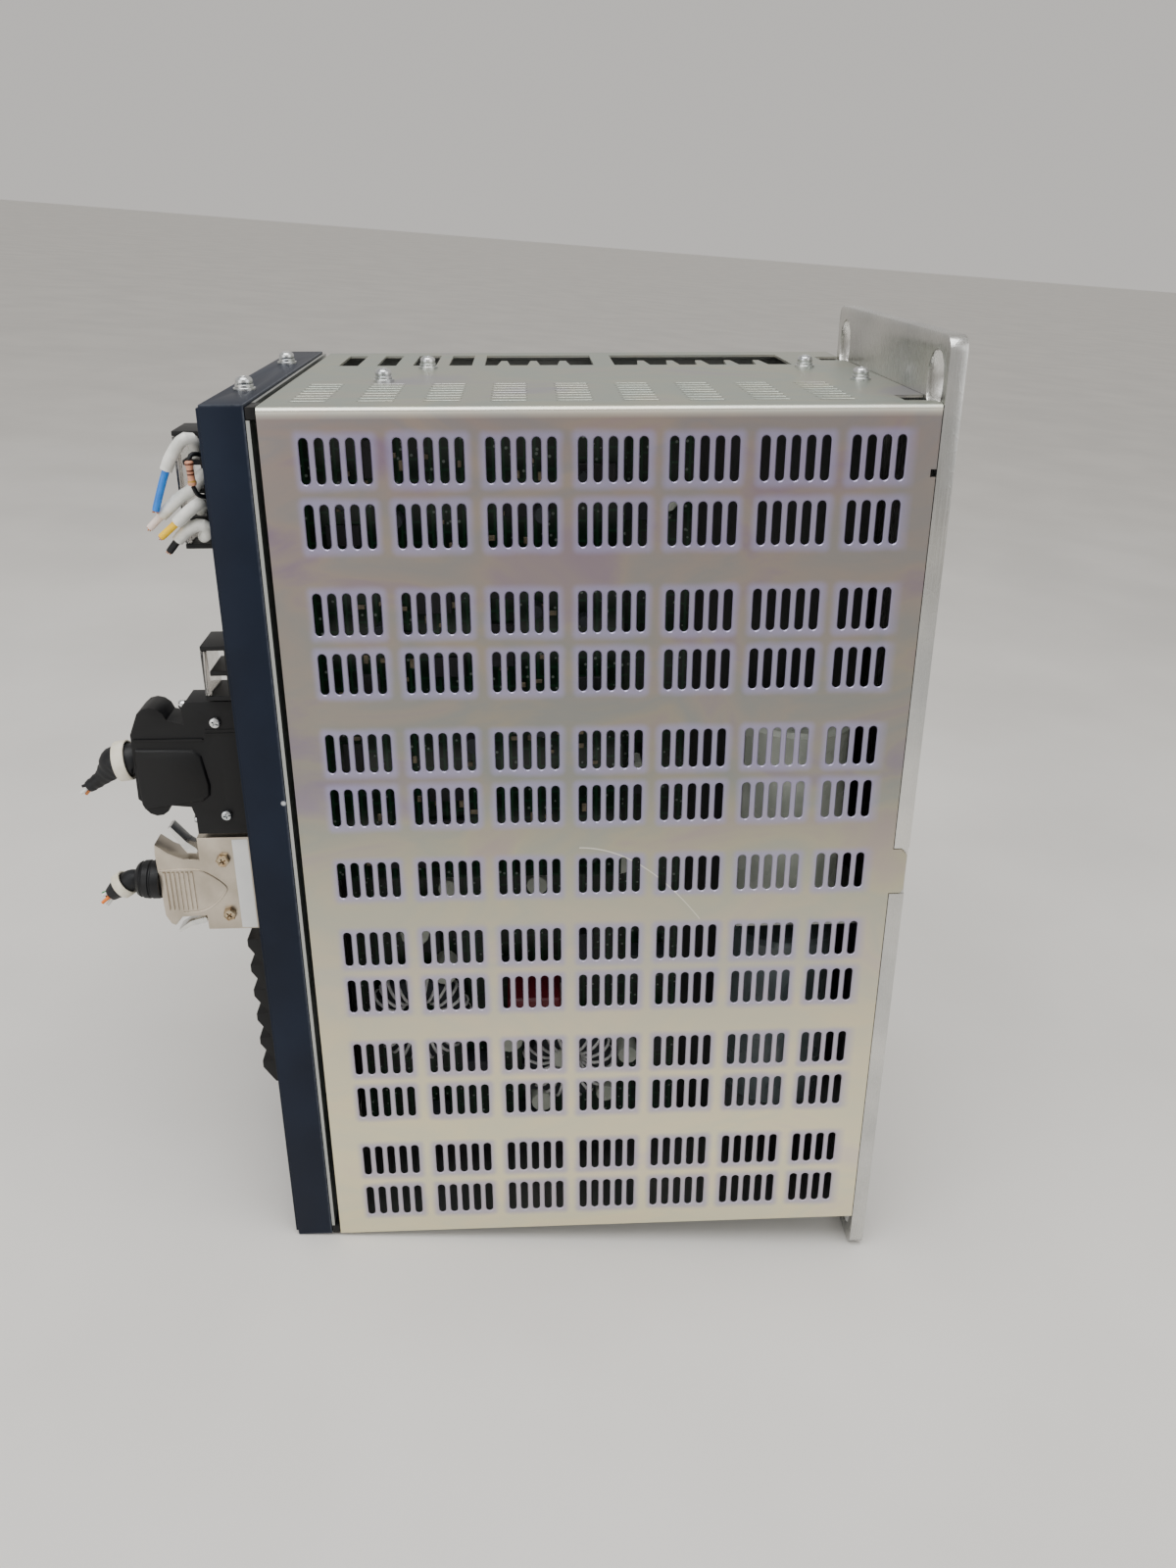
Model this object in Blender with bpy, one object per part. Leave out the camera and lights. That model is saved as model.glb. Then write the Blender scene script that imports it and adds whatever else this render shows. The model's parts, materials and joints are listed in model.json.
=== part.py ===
"""Variable frequency drive: a vented sheet-metal case on an aluminium base plate.

The origin is the centre of the base plate's rear face, which goes against a cabinet wall.
+Z is up, the front panel faces -Y and the vented side faces +X. Sizes are in millimetres,
and the helpers at the top turn them into metres.
"""

import math

import bmesh
import bpy
from mathutils import Matrix, Vector

MM = 0.001
GAP = 0.3  # air left between two pieces that touch

# --- base plate -------------------------------------------------------------------------
PLATE_W = 180.0
PLATE_T = 7.0
PLATE_H = 445.0
PLATE_FOOT = 20.5  # plate below the case
PLATE_CORNER = 6.0
MOUNT_SLOT_W = 20.0
MOUNT_SLOT_L = 24.0
MOUNT_SLOT_PITCH = 150.0
MOUNT_SLOT_EDGE = 5.8  # slot end to the plate's top or bottom edge

# --- case -------------------------------------------------------------------------------
CASE_W = 203.0
CASE_D = 259.0
CASE_H = 400.0
SHEET = 1.0
CHASSIS_SHEET = 1.2
BEND_R = 2.2
TOP_FLANGE = 9.0
REAR_FLANGE = 34.0  # closes the strip between the far side and the base plate
TAB_LENGTH = 6.5  # tab of the side sheet that hooks into the base plate
TAB_LOW = 188.0
TAB_HIGH = 210.0
TAB_CHAMFER = 3.0

SLOT_W = 3.5
SLOT_L = 17.5
SLOT_PITCH = 5.85
SLOTS_PER_GROUP = 5
GROUP_PITCH = 35.1
FIRST_SLOT = 16.3  # first slot's centre from the case's front edge
REAR_MARGIN = 14.0  # no slot's centre is nearer to the rear edge
ROW_FIRST = 35.0  # from the middle row to the nearest pair of rows
ROW_IN_PAIR = 25.0
PAIR_PITCH = 60.0
ROW_MARGIN = 11.0  # slot end to the case's top or bottom

TOP_SLOT_W = 3.0
TOP_SLOT_L = 14.8
TOP_SLOT_PITCH = 7.6
TOP_SLOTS = 8
TOP_FIRST_X = 15.5  # first slot's centre from the near edge
TOP_GROUP_FIRST = 17.0
TOP_GROUP_PITCH = 25.6
TOP_GROUP_MARGIN = 30.0

WINDOW_X = 142.0  # exhaust windows, from the near edge
WINDOW_W = 46.0
SMALL_WINDOWS = ((12.0, 21.0), (30.0, 39.0), (47.0, 58.0), (64.0, 75.0))
MIDDLE_WINDOW = (81.0, 133.0)
REAR_WINDOW_START = 143.0
REAR_WINDOW_MARGIN = 30.5  # from the rear window's end to the case's rear edge
TOOTH_PITCH = 14.3
TOOTH_L = 20.0
TOOTH_ROOT = 6.0
TOOTH_TIP = 3.0
BOLT_NOTCH_W = 16.0  # clearance in the top sheet in front of each mounting slot
BOLT_NOTCH_L = 12.0
BOLT_NOTCH_SHIFT = 3.5

# --- front ------------------------------------------------------------------------------
FRONT_GAP = 2.6
FRONT_PLATE_T = 1.4
BEZEL_T = 18.0
BEZEL_W = 203.0
BEZEL_WALL = 3.0
BEZEL_TOP_STEP = 1.0
BEZEL_EDGE = 1.4
GAP_BLOCK = 4.5

# --- connector column on the near edge of the front panel --------------------------------
COLUMN_TOP = 13.0  # upper terminal block from the case's top
COLUMN_X = 42.0  # column's centre from the near side
BLOCK_W = 22.0
BLOCK_POLE = 11.3
BLOCK_WALL = 2.0
BLOCK_BODY = 8.0  # depth of the block in front of the bezel
BLOCK_RIB = 15.0
BLOCK_EAR = 18.0
UPPER_POLES = 4
MIDDLE_POLES = 2
BLOCK_SPACING = 42.0
COVER_T = 1.4
COVER_PIN = 1.2
COVER_LIP = 2.6

HOOD_SPACING = 3.0
SIGNAL_H = 64.0
SIGNAL_T = 16.0
SIGNAL_FLANGE = 28.0
SIGNAL_GRIP = 24.5
SIGNAL_SOCKET_H = 58.0
ENCODER_H = 48.5
ENCODER_T = 12.0
ENCODER_FLANGE = 30.0
ENCODER_GRIP = 20.0
ENCODER_SOCKET_H = 44.0
SOCKET_WALL = 3.0
NOSE_CLEARANCE = 0.5
NOSE_L = 9.0
PLUG_STAND = 2.2  # hood's mating face from the bezel's front

JACK_R = 1.3
JACK_HEAD_R = 2.0
JACK_INSET = 4.0
JACK_HEAD_H = 2.9
HEAD_CHAMFER = 0.5
HOOD_SCREW_R = 2.5
HOOD_SCREW_H = 1.9
HOOD_SCREW_L = 6.0
HOOD_SCREW_SHANK = 1.2
HOOD_SCREW_INSET = 9.5
BOLT_R = 3.1
BOLT_H = 2.5
BOLT_L = 5.0
BOLT_BACK = 11.0  # from the front of the metal hood's flange
BOLT_TOP_INSET = 11.5
BOLT_LOW_INSET = 8.5

LATCH_W = 8.0
LATCH_EYE_R = 1.7
LATCH_STAND = 2.2  # pivot in front of the flange
LATCH_TOP_INSET = 7.6
LATCH_LOW_INSET = 4.0

CABLE_RISE = 2.0  # cable's axis above the middle of the black hood's grip
SIGNAL_MARKER_R = 9.2
SIGNAL_MARKER_W = 5.5
BOOT_R = 9.2
BOOT_L = 11.5
BOOT_DROOP = 0.04
ENCODER_MARKER_R = 6.3
ENCODER_MARKER_W = 4.5
MARKER_WALL = 1.0

PLUG_POLES = 6
PLUG_POLE = 14.0
PLUG_T = 18.0
PLUG_D = 14.0
PLUG_TOOTH = 5.5
PLUG_SLOPE = 0.62  # share of a pole where the tooth's slope ends
PLUG_CREST = 0.90  # share of a pole where its crest ends

# --- leads on the upper terminal block --------------------------------------------------
SLEEVE_R = 2.5
WIRE_R = 1.5
LEAD_STEP = 4 * WIRE_R  # between the points of a lead's tube
SLEEVE_STEP = 0.02  # share of a segment over which a sleeve steps down to its wire
RESISTOR_R = 1.7
RESISTOR_WIRE_R = 0.9

# --- inside -----------------------------------------------------------------------------
PARTITION_X = 75.0  # from the near side
PARTITION_FOOT = 14.0
PARTITION_MARGIN = 3.0  # from the case's front and rear
PARTITION_HEADROOM = 6.0
BOARD_T = 1.6
POWER_BOARD_X = 58.4
POWER_BOARD_FRONT = 8.0
POWER_BOARD_MARGIN = 14.0  # from the floor and the ceiling
POWER_BOARD_REAR = 36.0  # in front of the capacitors' front edge
CONTROL_BOARD_X = 22.0
CONTROL_BOARD_FRONT = 6.0
CONTROL_BOARD_D = 134.0
CONTROL_BOARD_H = 200.0
CONTROL_BOARD_HEADROOM = 10.0
STUD_R = 3.0
STUD_INSET = 8.0
POST_INSET = 9.0
MODULE_D = 80.0
MODULE_H = 120.0
MODULE_SHIFT = 12.0  # module's middle in front of the case's middle
FAN_SIZE = 119.0
FAN_DEPTH = 38.0
FAN_BORE = 114.0
FAN_HUB = 44.0
FAN_BLADES = 7
FAN_BLADE_T = 1.8
FAN_BLADE_W = 28.0
FAN_BLADE_PITCH = 48.0
FAN_BLADE_ROOT = 3.0  # how far a blade runs into the hub
FAN_TIP_GAP = 3.5
FAN_HUB_PLATE = 5.0
FAN_HUB_LIP = 1.0  # the rotor's hub is this much smaller than the plate under it
FAN_ROTOR_STAND = 6.0
FAN_ROTOR_MARGIN = 8.0
STRUTS = 3
STRUT_FIRST = 30.0
STRUT_W = 5.0
STRUT_T = 4.0
STRUT_ROOT = 10.0
INTAKE_D = 110.0
SINK_BASE = 10.0
SINK_FIN_T = 2.0
SINK_FIN_PITCH = 17.0
SINK_REACH = 98.0
SINK_MARGIN = 14.0  # from the case's front and rear
SINK_ABOVE_FAN = 22.0
SINK_HEADROOM = 26.0
CAP_D = 50.0
CAP_H = 92.0
CAP_RIM = 2.0
CAP_LEVELS = (62.0, 168.0)
CAP_REAR = 14.0  # behind the cans
CAP_SINK_IN = 4.0  # how far the cans' far side is behind the power board's face
SHELF_T = 1.5
SHELF_MARGIN = 2.0
CHOKE_TUBE = 7.5
CHOKES = ((41.0, 95.0, 18.0), (116.0, 66.0, 15.5))  # (from the front, from the base, ring radius)
RELAY_FRONT = 86.0
RELAY_BASE = 94.0
RELAY_SIZE = (28.0, 26.0, 22.0)

# --- screws -----------------------------------------------------------------------------
SCREW_R = 2.0
SCREW_HOLE_R = 2.3
SCREW_SHANK = 2.8  # shank below the sheet
SCREW_HEAD_R = 3.5
SCREW_HEAD_TOP = 5.4
SCREW_SHOULDER = 4.2
WASHER_R = 4.5
WASHER_TOP = 1.1
SPRING_WASHER_R = 3.7
SPRING_WASHER_TOP = 2.3
FRONT_SCREWS = ((79.5, 39.5), (130.0, 55.0))  # (from the near side, from the front edge)
REAR_SCREWS = ((129.5, 27.0), (78.0, 13.0))  # (from the near side, from the rear edge)
BEZEL_SCREWS = ((43.5, 10.0), (143.5, 10.0))

# --- derived places -----------------------------------------------------------------------
NEAR_X = PLATE_W / 2
FAR_X = NEAR_X - CASE_W
REAR_Y = -PLATE_T - GAP
FRONT_Y = -PLATE_T - CASE_D
BASE_Z = -PLATE_H / 2 + PLATE_FOOT
TOP_Z = BASE_Z + CASE_H
PLATE_FRONT_Y = FRONT_Y - FRONT_GAP - FRONT_PLATE_T
BEZEL_BACK_Y = PLATE_FRONT_Y - GAP
BEZEL_FRONT_Y = BEZEL_BACK_Y - BEZEL_T
COLUMN = NEAR_X - COLUMN_X
FLOOR_Z = BASE_Z + CHASSIS_SHEET
CEILING_Z = TOP_Z - SHEET


# === helpers ==============================================================================
def clear_scene():
    for old in list(bpy.data.objects):
        bpy.data.objects.remove(old, do_unlink=True)


def material(name, colour, roughness, metallic=0.0, alpha=1.0):
    made = bpy.data.materials.new(name)
    made.use_nodes = True
    shader = made.node_tree.nodes["Principled BSDF"]
    shader.inputs["Base Color"].default_value = (*colour, 1.0)
    shader.inputs["Roughness"].default_value = roughness
    shader.inputs["Metallic"].default_value = metallic
    shader.inputs["Alpha"].default_value = alpha
    return made


def add_object(name, mesh, surface, origin=(0, 0, 0)):
    made = bpy.data.objects.new(name, mesh)
    bpy.context.scene.collection.objects.link(made)
    made.location = Vector(origin) * MM
    if surface:
        mesh.materials.append(surface)
    return made


def from_bmesh(name, bm, surface, origin=(0, 0, 0)):
    """Turn a bmesh in millimetres into an object whose origin is at the given place."""
    bmesh.ops.remove_doubles(bm, verts=bm.verts, dist=0.001)
    bmesh.ops.translate(bm, verts=bm.verts, vec=-Vector(origin))
    bmesh.ops.scale(bm, verts=bm.verts, vec=(MM, MM, MM))
    bmesh.ops.recalc_face_normals(bm, faces=bm.faces)
    mesh = bpy.data.meshes.new(name)
    bm.to_mesh(mesh)
    bm.free()
    return add_object(name, mesh, surface, origin)


def add_block(bm, low, high):
    low, high = Vector(low), Vector(high)
    size = high - low
    place = Matrix.Translation((low + high) / 2) @ Matrix.Diagonal((*size, 1))
    return bmesh.ops.create_cube(bm, size=1, matrix=place)["verts"]


def add_prism(bm, outline, axis, low, high):
    """Extrude an outline along an axis. The outline's two numbers are the other two axes."""
    order = {"X": (1, 2, 0), "Y": (0, 2, 1), "Z": (0, 1, 2)}[axis]
    ring = []
    for first, second in outline:
        place = [0.0, 0.0, 0.0]
        place[order[0]] = first
        place[order[1]] = second
        place[order[2]] = low
        ring.append(bm.verts.new(place))
    face = bm.faces.new(ring)
    step = [0.0, 0.0, 0.0]
    step[order[2]] = high - low
    pushed = bmesh.ops.extrude_face_region(bm, geom=[face])
    moved = [item for item in pushed["geom"] if isinstance(item, bmesh.types.BMVert)]
    bmesh.ops.translate(bm, verts=moved, vec=step)


def block(name, low, high, surface, edge=0.0):
    bm = bmesh.new()
    add_block(bm, low, high)
    if edge:
        bmesh.ops.bevel(bm, geom=bm.edges, offset=edge, segments=1, affect="EDGES")
    return from_bmesh(name, bm, surface)


def prism(name, outline, axis, low, high, surface, origin=(0, 0, 0)):
    bm = bmesh.new()
    add_prism(bm, outline, axis, low, high)
    return from_bmesh(name, bm, surface, origin)


def arc(centre, radius, start, end, steps):
    """Points on an arc, angles in degrees, both ends included."""
    points = []
    for step in range(steps + 1):
        angle = math.radians(start + (end - start) * step / steps)
        points.append((centre[0] + radius * math.cos(angle), centre[1] + radius * math.sin(angle)))
    return points


def circle(centre, radius, steps):
    return arc(centre, radius, 0, 360, steps)[:-1]


def turned(name, profile, surface, place, axis, segments, origin=None):
    """Turn a profile of (radius, height) about an axis that leaves the given place."""
    bm = bmesh.new()
    verts = [bm.verts.new((radius, 0, height)) for radius, height in profile]
    edges = [bm.edges.new(pair) for pair in zip(verts, verts[1:])]
    bmesh.ops.spin(
        bm, geom=verts + edges, cent=(0, 0, 0), axis=(0, 0, 1),
        angle=math.tau, steps=segments, use_merge=True,
    )
    turn = Vector((0, 0, 1)).rotation_difference(Vector(axis)).to_matrix().to_4x4()
    bmesh.ops.transform(bm, matrix=Matrix.Translation(place) @ turn, verts=bm.verts)
    return from_bmesh(name, bm, surface, place if origin is None else origin)


def smooth_route(points, spacing):
    """Points every so many millimetres along a smooth curve through the given ones."""
    route = [Vector(point) for point in points]
    ends = [2 * route[0] - route[1], *route, 2 * route[-1] - route[-2]]
    fine = []
    for before, start, end, after in zip(ends, ends[1:], ends[2:], ends[3:]):
        for step in range(20):
            t = step / 20
            fine.append(0.5 * (
                2 * start + (end - before) * t
                + (2 * before - 5 * start + 4 * end - after) * t * t
                + (3 * start - before - 3 * end + after) * t * t * t
            ))
    fine.append(route[-1])
    picked = [fine[0]]
    for point in fine[1:-1]:
        if (point - picked[-1]).length >= spacing:
            picked.append(point)
    if (fine[-1] - picked[-1]).length < spacing / 2:
        picked.pop()
    return [*picked, fine[-1]]


def tube(name, points, radii, surface, resolution=2):
    """A round bar of the given radius at each point."""
    curve = bpy.data.curves.new(name, "CURVE")
    curve.dimensions = "3D"
    curve.bevel_depth = max(radii) * MM
    curve.bevel_resolution = resolution
    curve.use_fill_caps = True
    spline = curve.splines.new("POLY")
    spline.points.add(len(points) - 1)
    for knot, point, radius in zip(spline.points, points, radii):
        knot.co = (*(Vector(point) * MM), 1)
        knot.radius = radius / max(radii)
    return add_object(name, curve, surface)


def hide_tool(tool):
    tool.hide_render = True
    tool.display_type = "WIRE"
    return tool


def tool_from(name, bm):
    return hide_tool(from_bmesh(name, bm, None))


def boolean(piece, tool, operation):
    step = piece.modifiers.new(operation.lower(), "BOOLEAN")
    step.operation = operation
    step.object = tool
    step.solver = "EXACT"


def cut(piece, tool):
    boolean(piece, tool, "DIFFERENCE")


def fuse(piece, tool):
    boolean(piece, tool, "UNION")


def round_off(piece, angle=40):
    """Shade a round piece smooth and keep its sharp edges."""
    piece.data.shade_smooth()
    piece.data.set_sharp_from_angle(angle=math.radians(angle))


# === materials ============================================================================
def make_materials():
    return {
        "plate": material("bare aluminium plate", (0.72, 0.72, 0.71), 0.22, 1.0),
        "chromate": material("zinc with yellow chromate", (0.62, 0.58, 0.50), 0.36, 1.0),
        "galvanised": material("zinc plated steel", (0.60, 0.62, 0.62), 0.40, 1.0),
        "bezel": material("blue-grey painted panel", (0.028, 0.035, 0.050), 0.42),
        "black": material("black moulded plastic", (0.012, 0.012, 0.014), 0.45),
        "rubber": material("black rubber and tape", (0.015, 0.015, 0.016), 0.60),
        "clear": material("clear cover", (0.80, 0.80, 0.78), 0.08, 0.0, 0.35),
        "board": material("green circuit board", (0.01, 0.10, 0.04), 0.45),
        "nickel": material("satin nickel hood", (0.62, 0.56, 0.50), 0.34, 1.0),
        "spring": material("bright spring steel", (0.75, 0.74, 0.72), 0.15, 1.0),
        "screw": material("bright zinc screw", (0.75, 0.76, 0.76), 0.25, 1.0),
        "sleeve": material("white marker sleeve", (0.80, 0.79, 0.74), 0.45),
        "lead": material("white sleeved lead", (0.80, 0.80, 0.78), 0.40),
        "resistor": material("tan resistor body", (0.62, 0.30, 0.20), 0.50),
        "can": material("grey capacitor sleeve", (0.42, 0.44, 0.44), 0.40),
        "relay": material("maroon relay case", (0.17, 0.02, 0.03), 0.40),
        "core": material("choke winding", (0.55, 0.50, 0.42), 0.50),
        "sink": material("extruded aluminium", (0.66, 0.66, 0.66), 0.40, 1.0),
    }


# === base plate and case ==================================================================
def obround(centre, width, length, steps=6):
    """A slot with round ends, its length along the second axis."""
    reach = (length - width) / 2
    first, second = centre
    upper = arc((first, second + reach), width / 2, 0, 180, steps)
    lower = arc((first, second - reach), width / 2, 180, 360, steps)
    return upper + lower


def mounting_slots():
    """Centres of the four slots in the base plate, as (x, z)."""
    height = PLATE_H / 2 - MOUNT_SLOT_EDGE - MOUNT_SLOT_L / 2
    half = MOUNT_SLOT_PITCH / 2
    return [(x, z) for x in (-half, half) for z in (-height, height)]


def make_base_plate(skin):
    half_w, half_h, corner = PLATE_W / 2, PLATE_H / 2, PLATE_CORNER
    outline = [
        *arc((half_w - corner, half_h - corner), corner, 0, 90, 3),
        *arc((-half_w + corner, half_h - corner), corner, 90, 180, 3),
        *arc((-half_w + corner, -half_h + corner), corner, 180, 270, 3),
        *arc((half_w - corner, -half_h + corner), corner, 270, 360, 3),
    ]
    plate = prism("base_plate", outline, "Y", -PLATE_T, 0, skin["plate"])
    bm = bmesh.new()
    for centre in mounting_slots():
        slot = obround(centre, MOUNT_SLOT_W, MOUNT_SLOT_L)
        add_prism(bm, slot, "Y", -2 * PLATE_T, PLATE_T)
    low, high = BASE_Z + TAB_LOW - GAP, BASE_Z + TAB_HIGH + GAP
    notch = half_w - SHEET - GAP
    add_block(bm, (notch, -2 * PLATE_T, low), (half_w + SHEET, PLATE_T, high))
    cut(plate, tool_from("cutter_base_plate", bm))


def slot_rows():
    """Heights of the rows of side slots: one in the middle, then pairs up and down."""
    limit = CASE_H / 2 - ROW_MARGIN - SLOT_L / 2
    offsets = [0.0]
    first = ROW_FIRST
    while first <= limit:
        offsets += [first, -first]
        second = first + ROW_IN_PAIR
        if second <= limit:
            offsets += [second, -second]
        first += PAIR_PITCH
    return [BASE_Z + CASE_H / 2 + offset for offset in offsets]


def slot_columns():
    """Positions of the side slots along the case: groups, less those near the rear edge."""
    last = CASE_D - REAR_MARGIN
    places = []
    start = FIRST_SLOT
    while start <= last:
        group = [start + SLOT_PITCH * number for number in range(SLOTS_PER_GROUP)]
        places += [place for place in group if place <= last]
        start += GROUP_PITCH
    return [FRONT_Y + place for place in places]


def side_slot_cutters(bm):
    low_x, high_x = NEAR_X - 2 * SHEET, NEAR_X + SHEET
    for z in slot_rows():
        for y in slot_columns():
            low = (low_x, y - SLOT_W / 2, z - SLOT_L / 2)
            high = (high_x, y + SLOT_W / 2, z + SLOT_L / 2)
            add_block(bm, low, high)


def top_slot_cutters(bm):
    low_z, high_z = TOP_Z - 2 * SHEET, TOP_Z + SHEET
    y = FRONT_Y + TOP_GROUP_FIRST
    while y <= FRONT_Y + CASE_D - TOP_GROUP_MARGIN:
        for number in range(TOP_SLOTS):
            x = NEAR_X - TOP_FIRST_X - TOP_SLOT_PITCH * number
            low = (x - TOP_SLOT_W / 2, y - TOP_SLOT_L / 2, low_z)
            high = (x + TOP_SLOT_W / 2, y + TOP_SLOT_L / 2, high_z)
            add_block(bm, low, high)
        y += TOP_GROUP_PITCH


def toothed_window(start, end):
    """A long exhaust window with teeth on its near edge, seen from above."""
    near = NEAR_X - WINDOW_X
    far = near - WINDOW_W
    outline = [(near, start), (far, start), (far, end), (near, end)]
    tooth = end - TOOTH_PITCH
    while tooth - TOOTH_ROOT > start:
        outline += [
            (near, tooth + TOOTH_ROOT / 2),
            (near - TOOTH_L, tooth + TOOTH_TIP / 2),
            (near - TOOTH_L, tooth - TOOTH_TIP / 2),
            (near, tooth - TOOTH_ROOT / 2),
        ]
        tooth -= TOOTH_PITCH
    return outline


def window_cutters(bm):
    low_z, high_z = TOP_Z - 2 * SHEET, TOP_Z + SHEET
    near = NEAR_X - WINDOW_X
    for start, end in SMALL_WINDOWS:
        low = (near - WINDOW_W, FRONT_Y + start, low_z)
        add_block(bm, low, (near, FRONT_Y + end, high_z))
    rear_window = (REAR_WINDOW_START, CASE_D - REAR_WINDOW_MARGIN)
    for start, end in (MIDDLE_WINDOW, rear_window):
        outline = toothed_window(FRONT_Y + start, FRONT_Y + end)
        add_prism(bm, outline, "Z", low_z, high_z)
    for x, z in mounting_slots():
        if z > 0:
            middle = x - BOLT_NOTCH_SHIFT
            low = (middle - BOLT_NOTCH_W / 2, REAR_Y - BOLT_NOTCH_L, low_z)
            add_block(bm, low, (middle + BOLT_NOTCH_W / 2, REAR_Y + SHEET, high_z))


def case_screw_places():
    front = [(NEAR_X - x, FRONT_Y + y, TOP_Z) for x, y in FRONT_SCREWS]
    rear = [(NEAR_X - x, FRONT_Y + CASE_D - y, TOP_Z) for x, y in REAR_SCREWS]
    return front + rear


def bezel_screw_places():
    top = TOP_Z + BEZEL_TOP_STEP
    return [(NEAR_X - x, BEZEL_FRONT_Y + y, top) for x, y in BEZEL_SCREWS]


def screw_hole_cutters(bm, places):
    for x, y, z in places:
        outline = circle((x, y), SCREW_HOLE_R, 8)
        add_prism(bm, outline, "Z", z - BEZEL_WALL - SHEET, z + SHEET)


def make_side_cover(skin):
    """The near side and the top, one sheet bent along the top edge."""
    inner = BEND_R - SHEET
    corner = (NEAR_X - BEND_R, TOP_Z - BEND_R)
    outline = [
        (NEAR_X, BASE_Z),
        *arc(corner, BEND_R, 0, 90, 3),
        (FAR_X, TOP_Z),
        (FAR_X, TOP_Z - SHEET),
        *arc(corner, inner, 90, 0, 3),
        (NEAR_X - SHEET, BASE_Z),
    ]
    cover = prism("side_cover", outline, "Y", FRONT_Y, REAR_Y, skin["chromate"])
    low, high = BASE_Z + TAB_LOW, BASE_Z + TAB_HIGH
    end = REAR_Y + TAB_LENGTH
    tab = [
        (REAR_Y - SHEET, low),
        (end - TAB_CHAMFER / 2, low),
        (end, low + TAB_CHAMFER / 2),
        (end, high - TAB_CHAMFER),
        (end - TAB_CHAMFER, high),
        (REAR_Y - SHEET, high),
    ]
    fuse(cover, hide_tool(prism("cutter_tab", tab, "X", NEAR_X - SHEET, NEAR_X, None)))
    bm = bmesh.new()
    side_slot_cutters(bm)
    top_slot_cutters(bm)
    window_cutters(bm)
    screw_hole_cutters(bm, case_screw_places())
    cut(cover, tool_from("cutter_side_cover", bm))


def fan_centre():
    tunnel_near = NEAR_X - PARTITION_X - CHASSIS_SHEET
    tunnel_far = FAR_X + CHASSIS_SHEET
    return (tunnel_near + tunnel_far) / 2, FRONT_Y + CASE_D / 2


def make_chassis(skin):
    """Floor, far side, top flange and rear flange, one bent sheet with the fan's intake."""
    near = NEAR_X - SHEET - GAP
    ceiling = CEILING_Z - GAP
    sheet = CHASSIS_SHEET
    flange = FAR_X + TOP_FLANGE
    outline = [
        (near, BASE_Z),
        (near, BASE_Z + sheet),
        (FAR_X + sheet, BASE_Z + sheet),
        (FAR_X + sheet, ceiling - sheet),
        (flange, ceiling - sheet),
        (flange, ceiling),
        (FAR_X, ceiling),
        (FAR_X, BASE_Z),
    ]
    chassis = prism("chassis", outline, "Y", FRONT_Y, REAR_Y, skin["galvanised"])
    strip = block(
        "cutter_rear_flange",
        (FAR_X, REAR_Y - sheet, BASE_Z),
        (FAR_X + REAR_FLANGE, REAR_Y, ceiling),
        None,
    )
    fuse(chassis, hide_tool(strip))
    intake = circle(fan_centre(), INTAKE_D / 2, 20)
    low, high = BASE_Z - sheet, BASE_Z + 2 * sheet
    cut(chassis, hide_tool(prism("cutter_intake", intake, "Z", low, high, None)))


# === front ================================================================================
def column_places():
    """Lowest and highest z of each piece in the connector column, by name."""
    upper_high = TOP_Z - COLUMN_TOP
    upper_low = upper_high - UPPER_POLES * BLOCK_POLE - BLOCK_WALL
    middle_high = upper_low - BLOCK_SPACING
    middle_low = middle_high - MIDDLE_POLES * BLOCK_POLE - BLOCK_WALL
    signal_high = middle_low - HOOD_SPACING / 2
    signal_low = signal_high - SIGNAL_H
    encoder_high = signal_low - HOOD_SPACING
    encoder_low = encoder_high - ENCODER_H
    plug_high = encoder_low - HOOD_SPACING
    plug_low = plug_high - PLUG_POLES * PLUG_POLE
    return {
        "upper": (upper_low, upper_high),
        "middle": (middle_low, middle_high),
        "signal": (signal_low, signal_high),
        "encoder": (encoder_low, encoder_high),
        "plug": (plug_low, plug_high),
    }


def socket_span(name, height):
    """Lowest and highest z of a socket centred on its hood."""
    low, high = column_places()[name]
    middle = (low + high) / 2
    return middle - height / 2, middle + height / 2


def window_boxes():
    """(low x, high x, low z, high z) of what passes through the bezel and the front plate."""
    places = column_places()
    half_block = BLOCK_W / 2
    boxes = []
    for name in ("upper", "middle"):
        boxes.append((COLUMN - half_block, COLUMN + half_block, *places[name]))
    signal_half = SIGNAL_T / 2
    encoder_half = ENCODER_T / 2
    signal = socket_span("signal", SIGNAL_SOCKET_H)
    encoder = socket_span("encoder", ENCODER_SOCKET_H)
    boxes.append((COLUMN - signal_half, COLUMN + signal_half, *signal))
    boxes.append((COLUMN - encoder_half, COLUMN + encoder_half, *encoder))
    boxes.append((COLUMN - PLUG_T / 2, COLUMN + PLUG_T / 2, *places["plug"]))
    return boxes


def front_window_cutters(bm, low_y, high_y):
    for low_x, high_x, low_z, high_z in window_boxes():
        low = (low_x - GAP, low_y, low_z - GAP)
        add_block(bm, low, (high_x + GAP, high_y, high_z + GAP))


def gap_block_spans():
    inner_top = TOP_Z - GAP_BLOCK
    inner_low = BASE_Z + GAP_BLOCK
    return {"gap_block_top": (inner_top, TOP_Z), "gap_block_bottom": (BASE_Z, inner_low)}


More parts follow.
